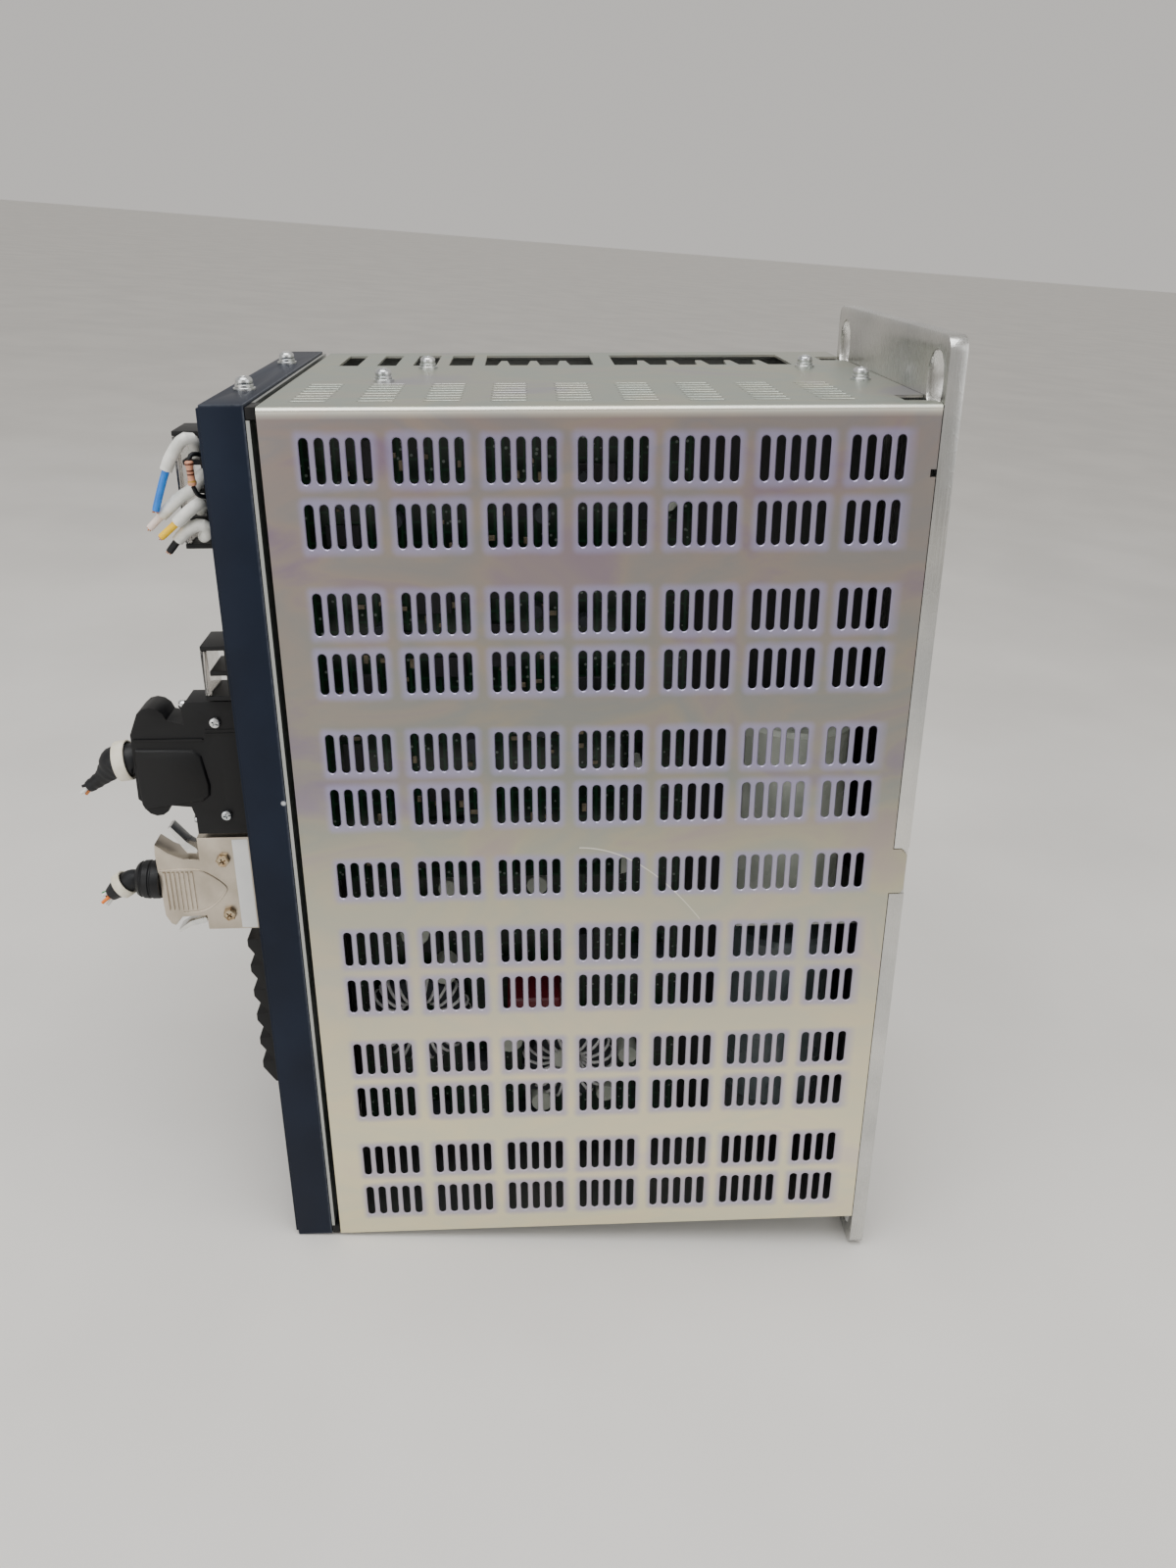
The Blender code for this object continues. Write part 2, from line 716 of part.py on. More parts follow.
def make_front_plate(skin):
    low = (FAR_X, PLATE_FRONT_Y, BASE_Z)
    high = (NEAR_X - GAP, PLATE_FRONT_Y + FRONT_PLATE_T, TOP_Z)
    plate = block("front_plate", low, high, skin["galvanised"])
    bm = bmesh.new()
    front_window_cutters(bm, PLATE_FRONT_Y - SHEET, FRONT_Y)
    corner = NEAR_X - 3 * GAP_BLOCK - GAP
    for low_z, high_z in gap_block_spans().values():
        low = (corner, PLATE_FRONT_Y - SHEET, low_z - GAP)
        add_block(bm, low, (NEAR_X + SHEET, FRONT_Y, high_z + GAP))
    cut(plate, tool_from("cutter_front_plate", bm))


def make_gap_blocks(skin):
    """Black spacers between the bezel and the case, at the near corners."""
    for name, (low_z, high_z) in gap_block_spans().items():
        low = (NEAR_X - 3 * GAP_BLOCK, PLATE_FRONT_Y, low_z)
        block(name, low, (NEAR_X - GAP, FRONT_Y - GAP, high_z), skin["black"])


def make_bezel(skin):
    low = Vector((NEAR_X - BEZEL_W, BEZEL_FRONT_Y, BASE_Z))
    high = Vector((NEAR_X, BEZEL_BACK_Y, TOP_Z + BEZEL_TOP_STEP))
    bm = bmesh.new()
    add_block(bm, low, high)
    front = [
        edge for edge in bm.edges
        if all(vert.co.y < BEZEL_FRONT_Y + SHEET for vert in edge.verts)
    ]
    bmesh.ops.bevel(bm, geom=front, offset=BEZEL_EDGE, segments=2, affect="EDGES")
    bezel = from_bmesh("bezel", bm, skin["bezel"])
    wall = Vector((BEZEL_WALL, BEZEL_WALL, BEZEL_WALL))
    pocket_high = high - wall
    pocket_high.y = BEZEL_BACK_Y + SHEET
    bm = bmesh.new()
    add_block(bm, low + wall, pocket_high)
    cut(bezel, tool_from("cutter_bezel_pocket", bm))
    bm = bmesh.new()
    front_window_cutters(bm, BEZEL_FRONT_Y - SHEET, BEZEL_FRONT_Y + 2 * BEZEL_WALL)
    screw_hole_cutters(bm, bezel_screw_places())
    cut(bezel, tool_from("cutter_bezel_windows", bm))


def comb(low_z, high_z, poles, back_y):
    """Side outline of a terminal block: tall ears, low ribs between the poles."""
    base = BEZEL_FRONT_Y - BLOCK_BODY
    rib = BEZEL_FRONT_Y - BLOCK_RIB
    ear = BEZEL_FRONT_Y - BLOCK_EAR
    outline = [(back_y, low_z), (ear, low_z), (ear, low_z + BLOCK_WALL), (base, low_z + BLOCK_WALL)]
    for number in range(1, poles):
        z = low_z + number * BLOCK_POLE
        outline += [(base, z), (rib, z), (rib, z + BLOCK_WALL), (base, z + BLOCK_WALL)]
    outline += [(base, high_z - BLOCK_WALL), (ear, high_z - BLOCK_WALL), (ear, high_z), (back_y, high_z)]
    return outline


def cover_hinge():
    """(x, y) of the axis that a terminal cover turns about, on its far front edge."""
    return COLUMN - BLOCK_W / 2 + COVER_PIN, BEZEL_FRONT_Y - BLOCK_EAR + COVER_PIN


def make_terminal_block(name, low_z, high_z, poles, skin):
    """A barrier block and the clear cover hinged between its ears."""
    back = PLATE_FRONT_Y + FRONT_PLATE_T
    outline = comb(low_z, high_z, poles, back)
    low_x, high_x = COLUMN - BLOCK_W / 2, COLUMN + BLOCK_W / 2
    prism(f"{name}_terminal_block", outline, "X", low_x, high_x, skin["black"])
    hinge_x, hinge_y = cover_hinge()
    face = BEZEL_FRONT_Y - BLOCK_EAR
    knuckle = arc((hinge_x, hinge_y), COVER_PIN, 270, 90, 4)
    profile = [
        (high_x, face),
        (high_x, face + COVER_LIP),
        (high_x - COVER_T, face + COVER_LIP),
        (high_x - COVER_T, face + COVER_T),
        *reversed(knuckle),
    ]
    origin = (hinge_x, hinge_y, (low_z + high_z) / 2)
    low, high = low_z + BLOCK_WALL + GAP, high_z - BLOCK_WALL - GAP
    prism(f"{name}_terminal_cover", profile, "Z", low, high, skin["clear"], origin)


def make_socket(name, low_z, high_z, thickness, surface):
    """A fixed socket in the bezel, with a recess that the hood's nose goes into."""
    low = (COLUMN - thickness / 2, BEZEL_FRONT_Y, low_z)
    high = (COLUMN + thickness / 2, PLATE_FRONT_Y + FRONT_PLATE_T, high_z)
    socket = block(name, low, high, surface)
    bm = bmesh.new()
    half = thickness / 2 - SOCKET_WALL
    deep = BEZEL_FRONT_Y + NOSE_L + NOSE_CLEARANCE
    low = (COLUMN - half, BEZEL_FRONT_Y - SHEET, low_z + SOCKET_WALL)
    add_block(bm, low, (COLUMN + half, deep, high_z - SOCKET_WALL))
    cut(socket, tool_from(f"cutter_{name}", bm))


def nose_tool(name, low_z, high_z, thickness, root_y):
    """The part of a hood that goes into its socket, a tool to fuse on."""
    half = thickness / 2 - SOCKET_WALL - NOSE_CLEARANCE
    inset = SOCKET_WALL + NOSE_CLEARANCE
    bm = bmesh.new()
    low = (COLUMN - half, root_y - SHEET, low_z + inset)
    add_block(bm, low, (COLUMN + half, BEZEL_FRONT_Y + NOSE_L, high_z - inset))
    return tool_from(f"cutter_{name}_nose", bm)


def signal_outline(low_z, high_z, face):
    """Side outline of the black hood: flange, then a grip with a lobe above and below."""
    front = face - SIGNAL_FLANGE
    end = front - SIGNAL_GRIP
    return [
        (face, high_z),
        (front + 2.0, high_z),
        (front, high_z - 2.5),
        (front, high_z - 10.5),
        *arc((front - 14.0, high_z - 9.5), 7.0, 10, 170, 6),
        (end + 0.8, high_z - 15.0),
        (end, low_z + 18.0),
        *arc((front - 16.5, low_z + 15.5), 6.0, 175, 350, 6),
        (front - 1.5, low_z + 13.5),
        (front, low_z + 8.0),
        (front, low_z),
        (face, low_z),
    ]


def make_signal_hood(skin):
    low_z, high_z = column_places()["signal"]
    face = BEZEL_FRONT_Y - PLUG_STAND
    low_x, high_x = COLUMN - SIGNAL_T / 2, COLUMN + SIGNAL_T / 2
    outline = signal_outline(low_z, high_z, face)
    hood = prism("signal_hood", outline, "X", low_x, high_x, skin["black"])
    span = socket_span("signal", SIGNAL_SOCKET_H)
    fuse(hood, nose_tool("signal", *span, SIGNAL_T, face))
    bm = bmesh.new()
    front = face - SIGNAL_FLANGE
    for z in jack_heights():
        add_prism(bm, circle((COLUMN, z), JACK_R + GAP, 8), "Y", front - SHEET, face + SHEET)
    for y, z in hood_screw_places():
        add_prism(bm, circle((y, z), HOOD_SCREW_SHANK + GAP, 6), "X", COLUMN, high_x + SHEET)
    cut(hood, tool_from("cutter_signal_hood", bm))


def jack_heights():
    low_z, high_z = column_places()["signal"]
    return high_z - JACK_INSET, low_z + JACK_INSET


def hood_screw_places():
    low_z, high_z = column_places()["signal"]
    y = BEZEL_FRONT_Y - PLUG_STAND - SIGNAL_FLANGE / 2
    return [(y, high_z - HOOD_SCREW_INSET), (y, low_z + HOOD_SCREW_INSET)]


def screw_profile(shank_r, length, head_r, head_h):
    """Half outline of a screw: its shank goes in, and its chamfered head stands on the face."""
    return [
        (0, -length), (shank_r, -length), (shank_r, GAP), (head_r, GAP),
        (head_r, head_h - HEAD_CHAMFER), (head_r - HEAD_CHAMFER, head_h), (0, head_h),
    ]


def make_hood_screws(skin):
    face = COLUMN + SIGNAL_T / 2
    for number, (y, z) in enumerate(hood_screw_places(), 1):
        profile = screw_profile(HOOD_SCREW_SHANK, HOOD_SCREW_L, HOOD_SCREW_R, HOOD_SCREW_H)
        screw = turned(f"hood_screw_{number}", profile, skin["screw"], (face, y, z), (1, 0, 0), 10)
        round_off(screw)


def make_jackscrews(skin):
    """Long screws through the hood's flange, whose heads stand out at the grip's side."""
    face = BEZEL_FRONT_Y - PLUG_STAND
    front = face - SIGNAL_FLANGE
    for number, z in enumerate(jack_heights(), 1):
        profile = screw_profile(JACK_R, SIGNAL_FLANGE, JACK_HEAD_R, JACK_HEAD_H)
        place = (COLUMN, front, z)
        screw = turned(f"jackscrew_{number}", profile, skin["screw"], place, (0, -1, 0), 10)
        round_off(screw)


def encoder_outline(low_z, high_z, face):
    """Side outline of the metal hood: flange, and a body with a pointed ear above."""
    front = face - ENCODER_FLANGE
    end = front - ENCODER_GRIP
    return [
        (face, high_z),
        (front, high_z),
        (front, high_z - 11.5),
        (front - 7.0, high_z - 11.0),
        (front - 14.0, high_z - 7.5),
        (end + 0.5, high_z - 3.0),
        (end, high_z - 8.0),
        (end + 0.8, low_z + 8.0),
        (end + 3.0, low_z + 3.5),
        (end + 5.0, low_z + 2.5),
        (end + 8.5, low_z + 7.0),
        (front, low_z + 7.5),
        (front, low_z),
        (face, low_z),
    ]


def bolt_places():
    low_z, high_z = column_places()["encoder"]
    y = BEZEL_FRONT_Y - PLUG_STAND - ENCODER_FLANGE + BOLT_BACK
    return [(y, high_z - BOLT_TOP_INSET), (y, low_z + BOLT_LOW_INSET)]


def make_encoder_hood(skin):
    low_z, high_z = column_places()["encoder"]
    face = BEZEL_FRONT_Y - PLUG_STAND
    low_x, high_x = COLUMN - ENCODER_T / 2, COLUMN + ENCODER_T / 2
    outline = encoder_outline(low_z, high_z, face)
    hood = prism("encoder_hood", outline, "X", low_x, high_x, skin["nickel"])
    span = socket_span("encoder", ENCODER_SOCKET_H)
    fuse(hood, nose_tool("encoder", *span, ENCODER_T, face))
    bm = bmesh.new()
    for y, z in bolt_places():
        add_prism(bm, circle((y, z), HOOD_SCREW_SHANK + GAP, 6), "X", COLUMN, high_x + SHEET)
    cut(hood, tool_from("cutter_encoder_hood", bm))


def make_hood_bolts(skin):
    """Hexagon-headed screws that close the metal hood."""
    face = COLUMN + ENCODER_T / 2
    for number, (y, z) in enumerate(bolt_places(), 1):
        profile = screw_profile(HOOD_SCREW_SHANK, BOLT_L, BOLT_R, BOLT_H)
        turned(f"hood_bolt_{number}", profile, skin["nickel"], (face, y, z), (1, 0, 0), 6)


def latch_pivots():
    """(y, z) of the two latch levers' axes."""
    low_z, high_z = column_places()["encoder"]
    y = BEZEL_FRONT_Y - PLUG_STAND - ENCODER_FLANGE - LATCH_STAND
    return (y, high_z - LATCH_TOP_INSET), (y, low_z + LATCH_LOW_INSET)


def make_latches(skin):
    """Squeeze levers: the upper one stands up like a wing, the lower one lies flat."""
    (y, z), (low_y, low_z) = latch_pivots()
    wing = [
        *arc((y, z), LATCH_EYE_R, -60, 60, 3),
        (y - 3.0, z + 4.6),
        (y - 9.2, z + 12.4),
        (y - 10.8, z + 11.6),
        (y - 6.6, z + 4.0),
        (y - 3.4, z - 1.2),
    ]
    lever = [
        *arc((low_y, low_z), LATCH_EYE_R, 60, -60, 3),
        (low_y - 6.5, low_z - 3.4),
        (low_y - 12.0, low_z - 6.4),
        (low_y - 12.6, low_z - 5.2),
        (low_y - 6.5, low_z - 0.6),
    ]
    low_x, high_x = COLUMN - LATCH_W / 2, COLUMN + LATCH_W / 2
    prism("latch_1", wing, "X", low_x, high_x, skin["spring"], (COLUMN, y, z))
    prism("latch_2", lever, "X", low_x, high_x, skin["spring"], (COLUMN, low_y, low_z))


def hood_cable_start(name):
    """Where a cable leaves its hood: the middle of the grip's end."""
    low_z, high_z = column_places()[name]
    flange, grip = {
        "signal": (SIGNAL_FLANGE, SIGNAL_GRIP),
        "encoder": (ENCODER_FLANGE, ENCODER_GRIP),
    }[name]
    y = BEZEL_FRONT_Y - PLUG_STAND - flange - grip - GAP
    return Vector((COLUMN, y, (low_z + high_z) / 2))


def ring(name, outer, width, surface, place, axis):
    inner = outer - MARKER_WALL
    profile = [(inner, 0), (outer, 0), (outer, width), (inner, width), (inner, 0)]
    made = turned(name, profile, surface, place, axis, 14)
    round_off(made)
    return made


def make_signal_cable(skin):
    """The taped end of a cut cable, with a marker sleeve round it."""
    start = hood_cable_start("signal") + Vector((0, 0, CABLE_RISE))
    steps = ((0.0, 0.0, 6.5), (-2.0, 0.2, 7.6), (-9.5, -1.0, 7.6), (-12.5, -4.0, 6.0),
             (-17.0, -8.5, 3.8), (-23.5, -13.0, 3.0))
    points = [start + Vector((0, y, z)) for y, z, radius in steps]
    radii = [radius for y, z, radius in steps]
    tube("signal_cable", points, radii, skin["rubber"], resolution=3)
    along = (points[2] - points[1]).normalized()
    place = points[1] + along
    ring("signal_marker", SIGNAL_MARKER_R, SIGNAL_MARKER_W, skin["sleeve"], place, along)


def make_encoder_cable(skin):
    """A rubber boot, then the cut end of a thinner cable, with a marker sleeve round it."""
    start = hood_cable_start("encoder")
    boot_profile = [
        (0, 0), (BOOT_R - 0.4, 0), (BOOT_R, 4.0), (BOOT_R - 0.6, 9.0), (6.0, BOOT_L), (0, BOOT_L),
    ]
    boot_axis = Vector((0, -1, BOOT_DROOP)).normalized()
    boot = turned("encoder_boot", boot_profile, skin["rubber"], start, boot_axis, 14)
    round_off(boot)
    end = start + boot_axis * (BOOT_L + GAP)
    steps = ((0.0, 0.0, 4.2), (-1.6, 0.06, 4.6), (-3.4, -0.7, 4.8), (-9.0, -4.6, 4.8),
             (-13.0, -7.8, 3.4))
    points = [end + Vector((0, y, z)) for y, z, radius in steps]
    radii = [radius for y, z, radius in steps]
    tube("encoder_cable", points, radii, skin["rubber"], resolution=3)
    along = (points[3] - points[2]).normalized()
    place = points[2] + along * 1.4
    ring("encoder_marker", ENCODER_MARKER_R, ENCODER_MARKER_W, skin["sleeve"], place, along)


def make_power_plug(skin):
    """A pluggable terminal strip whose wire hoods make a saw-tooth edge, and its header."""
    low_z, high_z = column_places()["plug"]
    low_x, high_x = COLUMN - PLUG_T / 2, COLUMN + PLUG_T / 2
    make_socket("power_header", low_z, high_z, PLUG_T, skin["black"])
    face = BEZEL_FRONT_Y - GAP
    valley = face - PLUG_D + PLUG_TOOTH
    tip = face - PLUG_D
    outline = [(face, low_z)]
    for number in range(PLUG_POLES):
        z = low_z + number * PLUG_POLE
        outline += [(valley, z), (tip, z + PLUG_SLOPE * PLUG_POLE)]
        outline += [(tip, z + PLUG_CREST * PLUG_POLE), (valley, z + PLUG_CREST * PLUG_POLE)]
    outline += [(valley, high_z), (face, high_z)]
    plug = prism("power_plug", outline, "X", low_x, high_x, skin["black"])
    fuse(plug, nose_tool("power", low_z, high_z, PLUG_T, face))


# === leads on the upper terminal block ====================================================
def lead_routes():
    """Route points of each cut lead from the block's near side, and its sleeve's share."""
    near = COLUMN + BLOCK_W / 2
    face = BEZEL_FRONT_Y
    top = column_places()["upper"][1]
    routes = {
        "lead_blue": (0.66, (
            (0.4, -9.5, -8.0), (2.4, -9.5, -8.0), (5.0, -8.3, -4.6), (8.2, -8.8, -1.6),
            (9.4, -12.0, -2.5), (9.5, -17.0, -9.0), (9.5, -21.0, -17.7), (9.5, -25.4, -29.4),
        )),
        "lead_white": (0.78, (
            (0.4, -7.5, -17.0), (2.4, -7.5, -17.0), (5.0, -9.0, -19.6), (6.4, -11.5, -22.2),
            (6.5, -16.1, -25.0), (6.5, -22.0, -30.0), (6.5, -29.6, -37.0),
        )),
        "lead_yellow": (0.76, (
            (0.4, -9.5, -30.5), (2.4, -9.5, -30.5), (6.0, -8.0, -28.0), (10.0, -8.0, -26.6),
            (12.0, -11.5, -29.0), (12.0, -16.5, -33.3), (12.0, -24.0, -39.5),
        )),
        "lead_black": (0.80, (
            (0.4, -9.5, -41.5), (2.4, -9.5, -41.5), (6.0, -7.2, -39.4), (9.0, -6.2, -36.2),
            (9.2, -10.0, -35.4), (9.0, -15.9, -38.9), (8.5, -22.5, -46.2),
        )),
    }
    origin = Vector((near, face, top))
    placed = {}
    for name, (share, points) in routes.items():
        placed[name] = ([origin + Vector(point) for point in points], share)
    return placed


def make_leads(skin):
    for name, (route, share) in lead_routes().items():
        points = [route[0], *smooth_route(route[1:], LEAD_STEP)]
        last_sleeved = round(share * (len(points) - 1))
        edge = points[last_sleeved].lerp(points[last_sleeved + 1], SLEEVE_STEP)
        points.insert(last_sleeved + 1, edge)
        radii = [SLEEVE_R if at <= last_sleeved else WIRE_R for at in range(len(points))]
        tube(name, points, radii, skin["lead"])


def make_resistor(skin):
    """A wire-ended resistor bridging two poles, its leads in black sleeves."""
    origin = Vector((COLUMN + BLOCK_W / 2, BEZEL_FRONT_Y, column_places()["upper"][1]))
    wire, body = RESISTOR_WIRE_R, RESISTOR_R
    steps = (
        (0.6, -3.0, -14.0, wire), (6.0, -4.5, -9.0, wire), (12.0, -7.5, -7.0, wire),
        (13.4, -9.0, -9.1, wire), (13.5, -9.0, -9.4, body), (13.5, -8.6, -18.9, body),
        (13.4, -8.5, -19.2, wire), (12.0, -7.0, -23.0, wire), (6.0, -3.5, -24.5, wire),
        (0.6, -3.0, -24.5, wire),
    )
    points = [origin + Vector(step[:3]) for step in steps]
    tube("resistor", points, [step[3] for step in steps], skin["resistor"])


# === inside ===============================================================================
def board_studs():
    """(y, z) of the studs that carry the power board."""
    return corners(power_board_span(), STUD_INSET)


def corners(span, inset):
    """(y, z) of the four corners of a board, each set in from its edges."""
    low_y, high_y, low_z, high_z = span
    heights = (low_z + inset, high_z - inset)
    return [(y, z) for y in (low_y + inset, high_y - inset) for z in heights]


def power_board_span():
    low_y = FRONT_Y + POWER_BOARD_FRONT
    high_y = REAR_Y - CAP_D - POWER_BOARD_REAR
    return low_y, high_y, FLOOR_Z + POWER_BOARD_MARGIN, CEILING_Z - POWER_BOARD_MARGIN


def control_board_span():
    low_y = FRONT_Y + CONTROL_BOARD_FRONT
    high_z = CEILING_Z - CONTROL_BOARD_HEADROOM
    return low_y, low_y + CONTROL_BOARD_D, high_z - CONTROL_BOARD_H, high_z


def make_partition(skin):
    """The sheet between the electronics and the fan's air tunnel, with pressed-in studs."""
    near = NEAR_X - PARTITION_X
    sheet = CHASSIS_SHEET
    low_y, high_y = FRONT_Y + PARTITION_MARGIN, REAR_Y - PARTITION_MARGIN
    low_z, high_z = FLOOR_Z + GAP, CEILING_Z - PARTITION_HEADROOM
    outline = [
        (near - sheet, low_z),
        (near + PARTITION_FOOT, low_z),
        (near + PARTITION_FOOT, low_z + sheet),
        (near, low_z + sheet),
        (near, high_z),
        (near - sheet, high_z),
    ]
    partition = prism("partition", outline, "Y", low_y, high_y, skin["galvanised"])
    bm = bmesh.new()
    for y, z in board_studs():
        reach = NEAR_X - POWER_BOARD_X - BOARD_T - GAP
        add_prism(bm, circle((y, z), STUD_R, 6), "X", near - sheet / 2, reach)
    fuse(partition, tool_from("cutter_studs", bm))
    bm = bmesh.new()
    low_my, high_my, low_mz, high_mz = module_span()
    low = (near - 2 * sheet, low_my - GAP, low_mz - GAP)
    add_block(bm, low, (near + sheet, high_my + GAP, high_mz + GAP))
    cut(partition, tool_from("cutter_partition", bm))


def module_span():
    middle_z = BASE_Z + CASE_H / 2
    middle_y = FRONT_Y + CASE_D / 2 - MODULE_SHIFT
    half_d, half_h = MODULE_D / 2, MODULE_H / 2
    return middle_y - half_d, middle_y + half_d, middle_z - half_h, middle_z + half_h


def sink_back():
    """x of the heat sink's flat face, against the partition."""
    return NEAR_X - PARTITION_X - CHASSIS_SHEET - GAP


def make_power_module(skin):
    low_y, high_y, low_z, high_z = module_span()
    near = NEAR_X - POWER_BOARD_X - BOARD_T - 2 * GAP
    low = (sink_back() + GAP, low_y, low_z)
    block("power_module", low, (near, high_y, high_z), skin["black"], 1.0)


def make_heat_sink(skin):
    """An extruded sink in the tunnel: a thick base and upright fins, seen from above."""
    back = sink_back()
    root = back - SINK_BASE
    tip = back - SINK_REACH
    low_y = FRONT_Y + SINK_MARGIN
    count = int((CASE_D - 2 * SINK_MARGIN - SINK_FIN_T) / SINK_FIN_PITCH) + 1
    high_y = low_y + (count - 1) * SINK_FIN_PITCH + SINK_FIN_T
    outline = [(back, high_y), (back, low_y)]
    for number in range(count):
        y = low_y + number * SINK_FIN_PITCH
        if number:
            outline.append((root, y))
        outline += [(tip, y), (tip, y + SINK_FIN_T)]
        if number < count - 1:
            outline.append((root, y + SINK_FIN_T))
    low_z = FLOOR_Z + FAN_DEPTH + SINK_ABOVE_FAN
    prism("heat_sink", outline, "Z", low_z, CEILING_Z - SINK_HEADROOM, skin["sink"])


def make_boards(skin):
    near = NEAR_X - POWER_BOARD_X
    low_y, high_y, low_z, high_z = power_board_span()
    block("power_board", (near - BOARD_T, low_y, low_z), (near, high_y, high_z), skin["board"])
    front = NEAR_X - CONTROL_BOARD_X
    low_y, high_y, low_z, high_z = control_board_span()
    block("control_board", (front - BOARD_T, low_y, low_z), (front, high_y, high_z), skin["board"])
    for number, place in enumerate(corners(control_board_span(), POST_INSET), 1):
        outline = circle(place, STUD_R, 6)
        name = f"board_post_{number}"
        prism(name, outline, "X", near + GAP, front - BOARD_T - GAP, skin["screw"])


def capacitor_axis():
    return NEAR_X - POWER_BOARD_X + CAP_D / 2 - CAP_SINK_IN, REAR_Y - CAP_REAR - CAP_D / 2


def make_capacitors(skin):
    """Two electrolytic cans, each standing on a shelf of one bracket."""
    x, y = capacitor_axis()
    radius = CAP_D / 2
    back = REAR_Y - SHELF_MARGIN
    low_x, high_x = x - radius - SHELF_MARGIN, x + radius + SHELF_MARGIN
    reach = y - radius - SHELF_MARGIN
    outline = [(back, BASE_Z + CAP_LEVELS[-1]), (back, BASE_Z + CAP_LEVELS[0] - SHELF_T)]
    for number, level in enumerate(CAP_LEVELS, 1):
        z = BASE_Z + level
        outline += [(reach, z - SHELF_T), (reach, z), (back - SHELF_T, z)]
        if number < len(CAP_LEVELS):
            outline.append((back - SHELF_T, BASE_Z + CAP_LEVELS[number] - SHELF_T))
        shoulder = CAP_H - CAP_RIM
        profile = [(0, GAP), (radius, GAP), (radius, shoulder), (radius - CAP_RIM, CAP_H), (0, CAP_H)]
        can = turned(f"dc_capacitor_{number}", profile, skin["can"], (x, y, z), (0, 0, 1), 20)
        round_off(can)
    prism("capacitor_bracket", outline, "X", low_x, high_x, skin["galvanised"])


def board_piece_x():
    return NEAR_X - POWER_BOARD_X + GAP


def make_relay(skin):
    low = Vector((board_piece_x(), FRONT_Y + RELAY_FRONT, BASE_Z + RELAY_BASE))
    block("main_relay", low, low + Vector(RELAY_SIZE), skin["relay"], 1.0)


def make_chokes(skin):
    """Ring chokes lying against the power board."""
    x = board_piece_x() + CHOKE_TUBE
    for number, (y, z, radius) in enumerate(CHOKES, 1):
        profile = [(radius + px, py) for px, py in circle((0, 0), CHOKE_TUBE, 8)]
        profile.append(profile[0])
        place = (x, FRONT_Y + y, BASE_Z + z)
        choke = turned(f"choke_{number}", profile, skin["core"], place, (1, 0, 0), 18)
        round_off(choke, 60)


def make_fan(skin):
    """The fan at the tunnel's foot: a square frame with three struts, and its rotor."""
    x, y = fan_centre()
    low_z = FLOOR_Z + GAP
    half = FAN_SIZE / 2
    low, high = (x - half, y - half, low_z), (x + half, y + half, low_z + FAN_DEPTH)
    frame = block("fan_frame", low, high, skin["black"])
    bore = circle((x, y), FAN_BORE / 2, 24)
    cut(frame, hide_tool(prism("cutter_fan", bore, "Z", low_z - SHEET, high[2] + SHEET, None)))
    hub = circle((x, y), FAN_HUB / 2, 12)
    disc = prism("cutter_fan_hub", hub, "Z", low_z, low_z + FAN_HUB_PLATE, None)
    fuse(frame, hide_tool(disc))
    reach = FAN_BORE / 2 + SHEET
    for number in range(STRUTS):
        bm = bmesh.new()
        add_block(bm, (STRUT_ROOT, -STRUT_W / 2, low_z), (reach, STRUT_W / 2, low_z + STRUT_T))
        angle = math.radians(STRUT_FIRST + 360 * number / STRUTS)
        turn = Matrix.Rotation(angle, 4, "Z")
        bmesh.ops.transform(bm, matrix=Matrix.Translation((x, y, 0)) @ turn, verts=bm.verts)
        fuse(frame, tool_from(f"cutter_strut_{number}", bm))
    make_rotor(skin, (x, y, low_z + FAN_ROTOR_STAND))


def make_rotor(skin, place):
    depth = FAN_DEPTH - FAN_ROTOR_MARGIN
    hub_r = FAN_HUB / 2 - FAN_HUB_LIP
    profile = [(0, 0), (hub_r, 0), (hub_r, depth), (0, depth)]
    rotor = turned("fan_rotor", profile, skin["black"], place, (0, 0, 1), 14)
    half_t, half_w = FAN_BLADE_T / 2, FAN_BLADE_W / 2
    root, tip = hub_r - FAN_BLADE_ROOT, FAN_BORE / 2 - FAN_TIP_GAP
    for number in range(FAN_BLADES):
        bm = bmesh.new()
        add_block(bm, (root, -half_t, -half_w), (tip, half_t, half_w))
        pitch = Matrix.Rotation(math.radians(FAN_BLADE_PITCH), 4, "X")
        turn = Matrix.Rotation(math.tau * number / FAN_BLADES, 4, "Z")
        lift = Matrix.Translation((place[0], place[1], place[2] + depth / 2))
        bmesh.ops.transform(bm, matrix=lift @ turn @ pitch, verts=bm.verts)
        fuse(rotor, tool_from(f"cutter_blade_{number}", bm))


# === top screws ===========================================================================
def make_top_screws(skin):
    """Pan heads on a spring washer and a flat washer, in the bezel's and the case's top."""
    profile = [
        (0, -SCREW_SHANK), (SCREW_R, -SCREW_SHANK), (SCREW_R, GAP), (WASHER_R, GAP),
        (WASHER_R, WASHER_TOP), (SPRING_WASHER_R, WASHER_TOP),
        (SPRING_WASHER_R, SPRING_WASHER_TOP), (SCREW_HEAD_R, SPRING_WASHER_TOP),
        (SCREW_HEAD_R, SCREW_SHOULDER), (SCREW_HEAD_R - 1.1, SCREW_HEAD_TOP), (0, SCREW_HEAD_TOP),
    ]
    places = bezel_screw_places() + case_screw_places()
    for number, place in enumerate(places, 1):
        screw = turned(f"top_screw_{number}", profile, skin["screw"], place, (0, 0, 1), 10)
        round_off(screw)


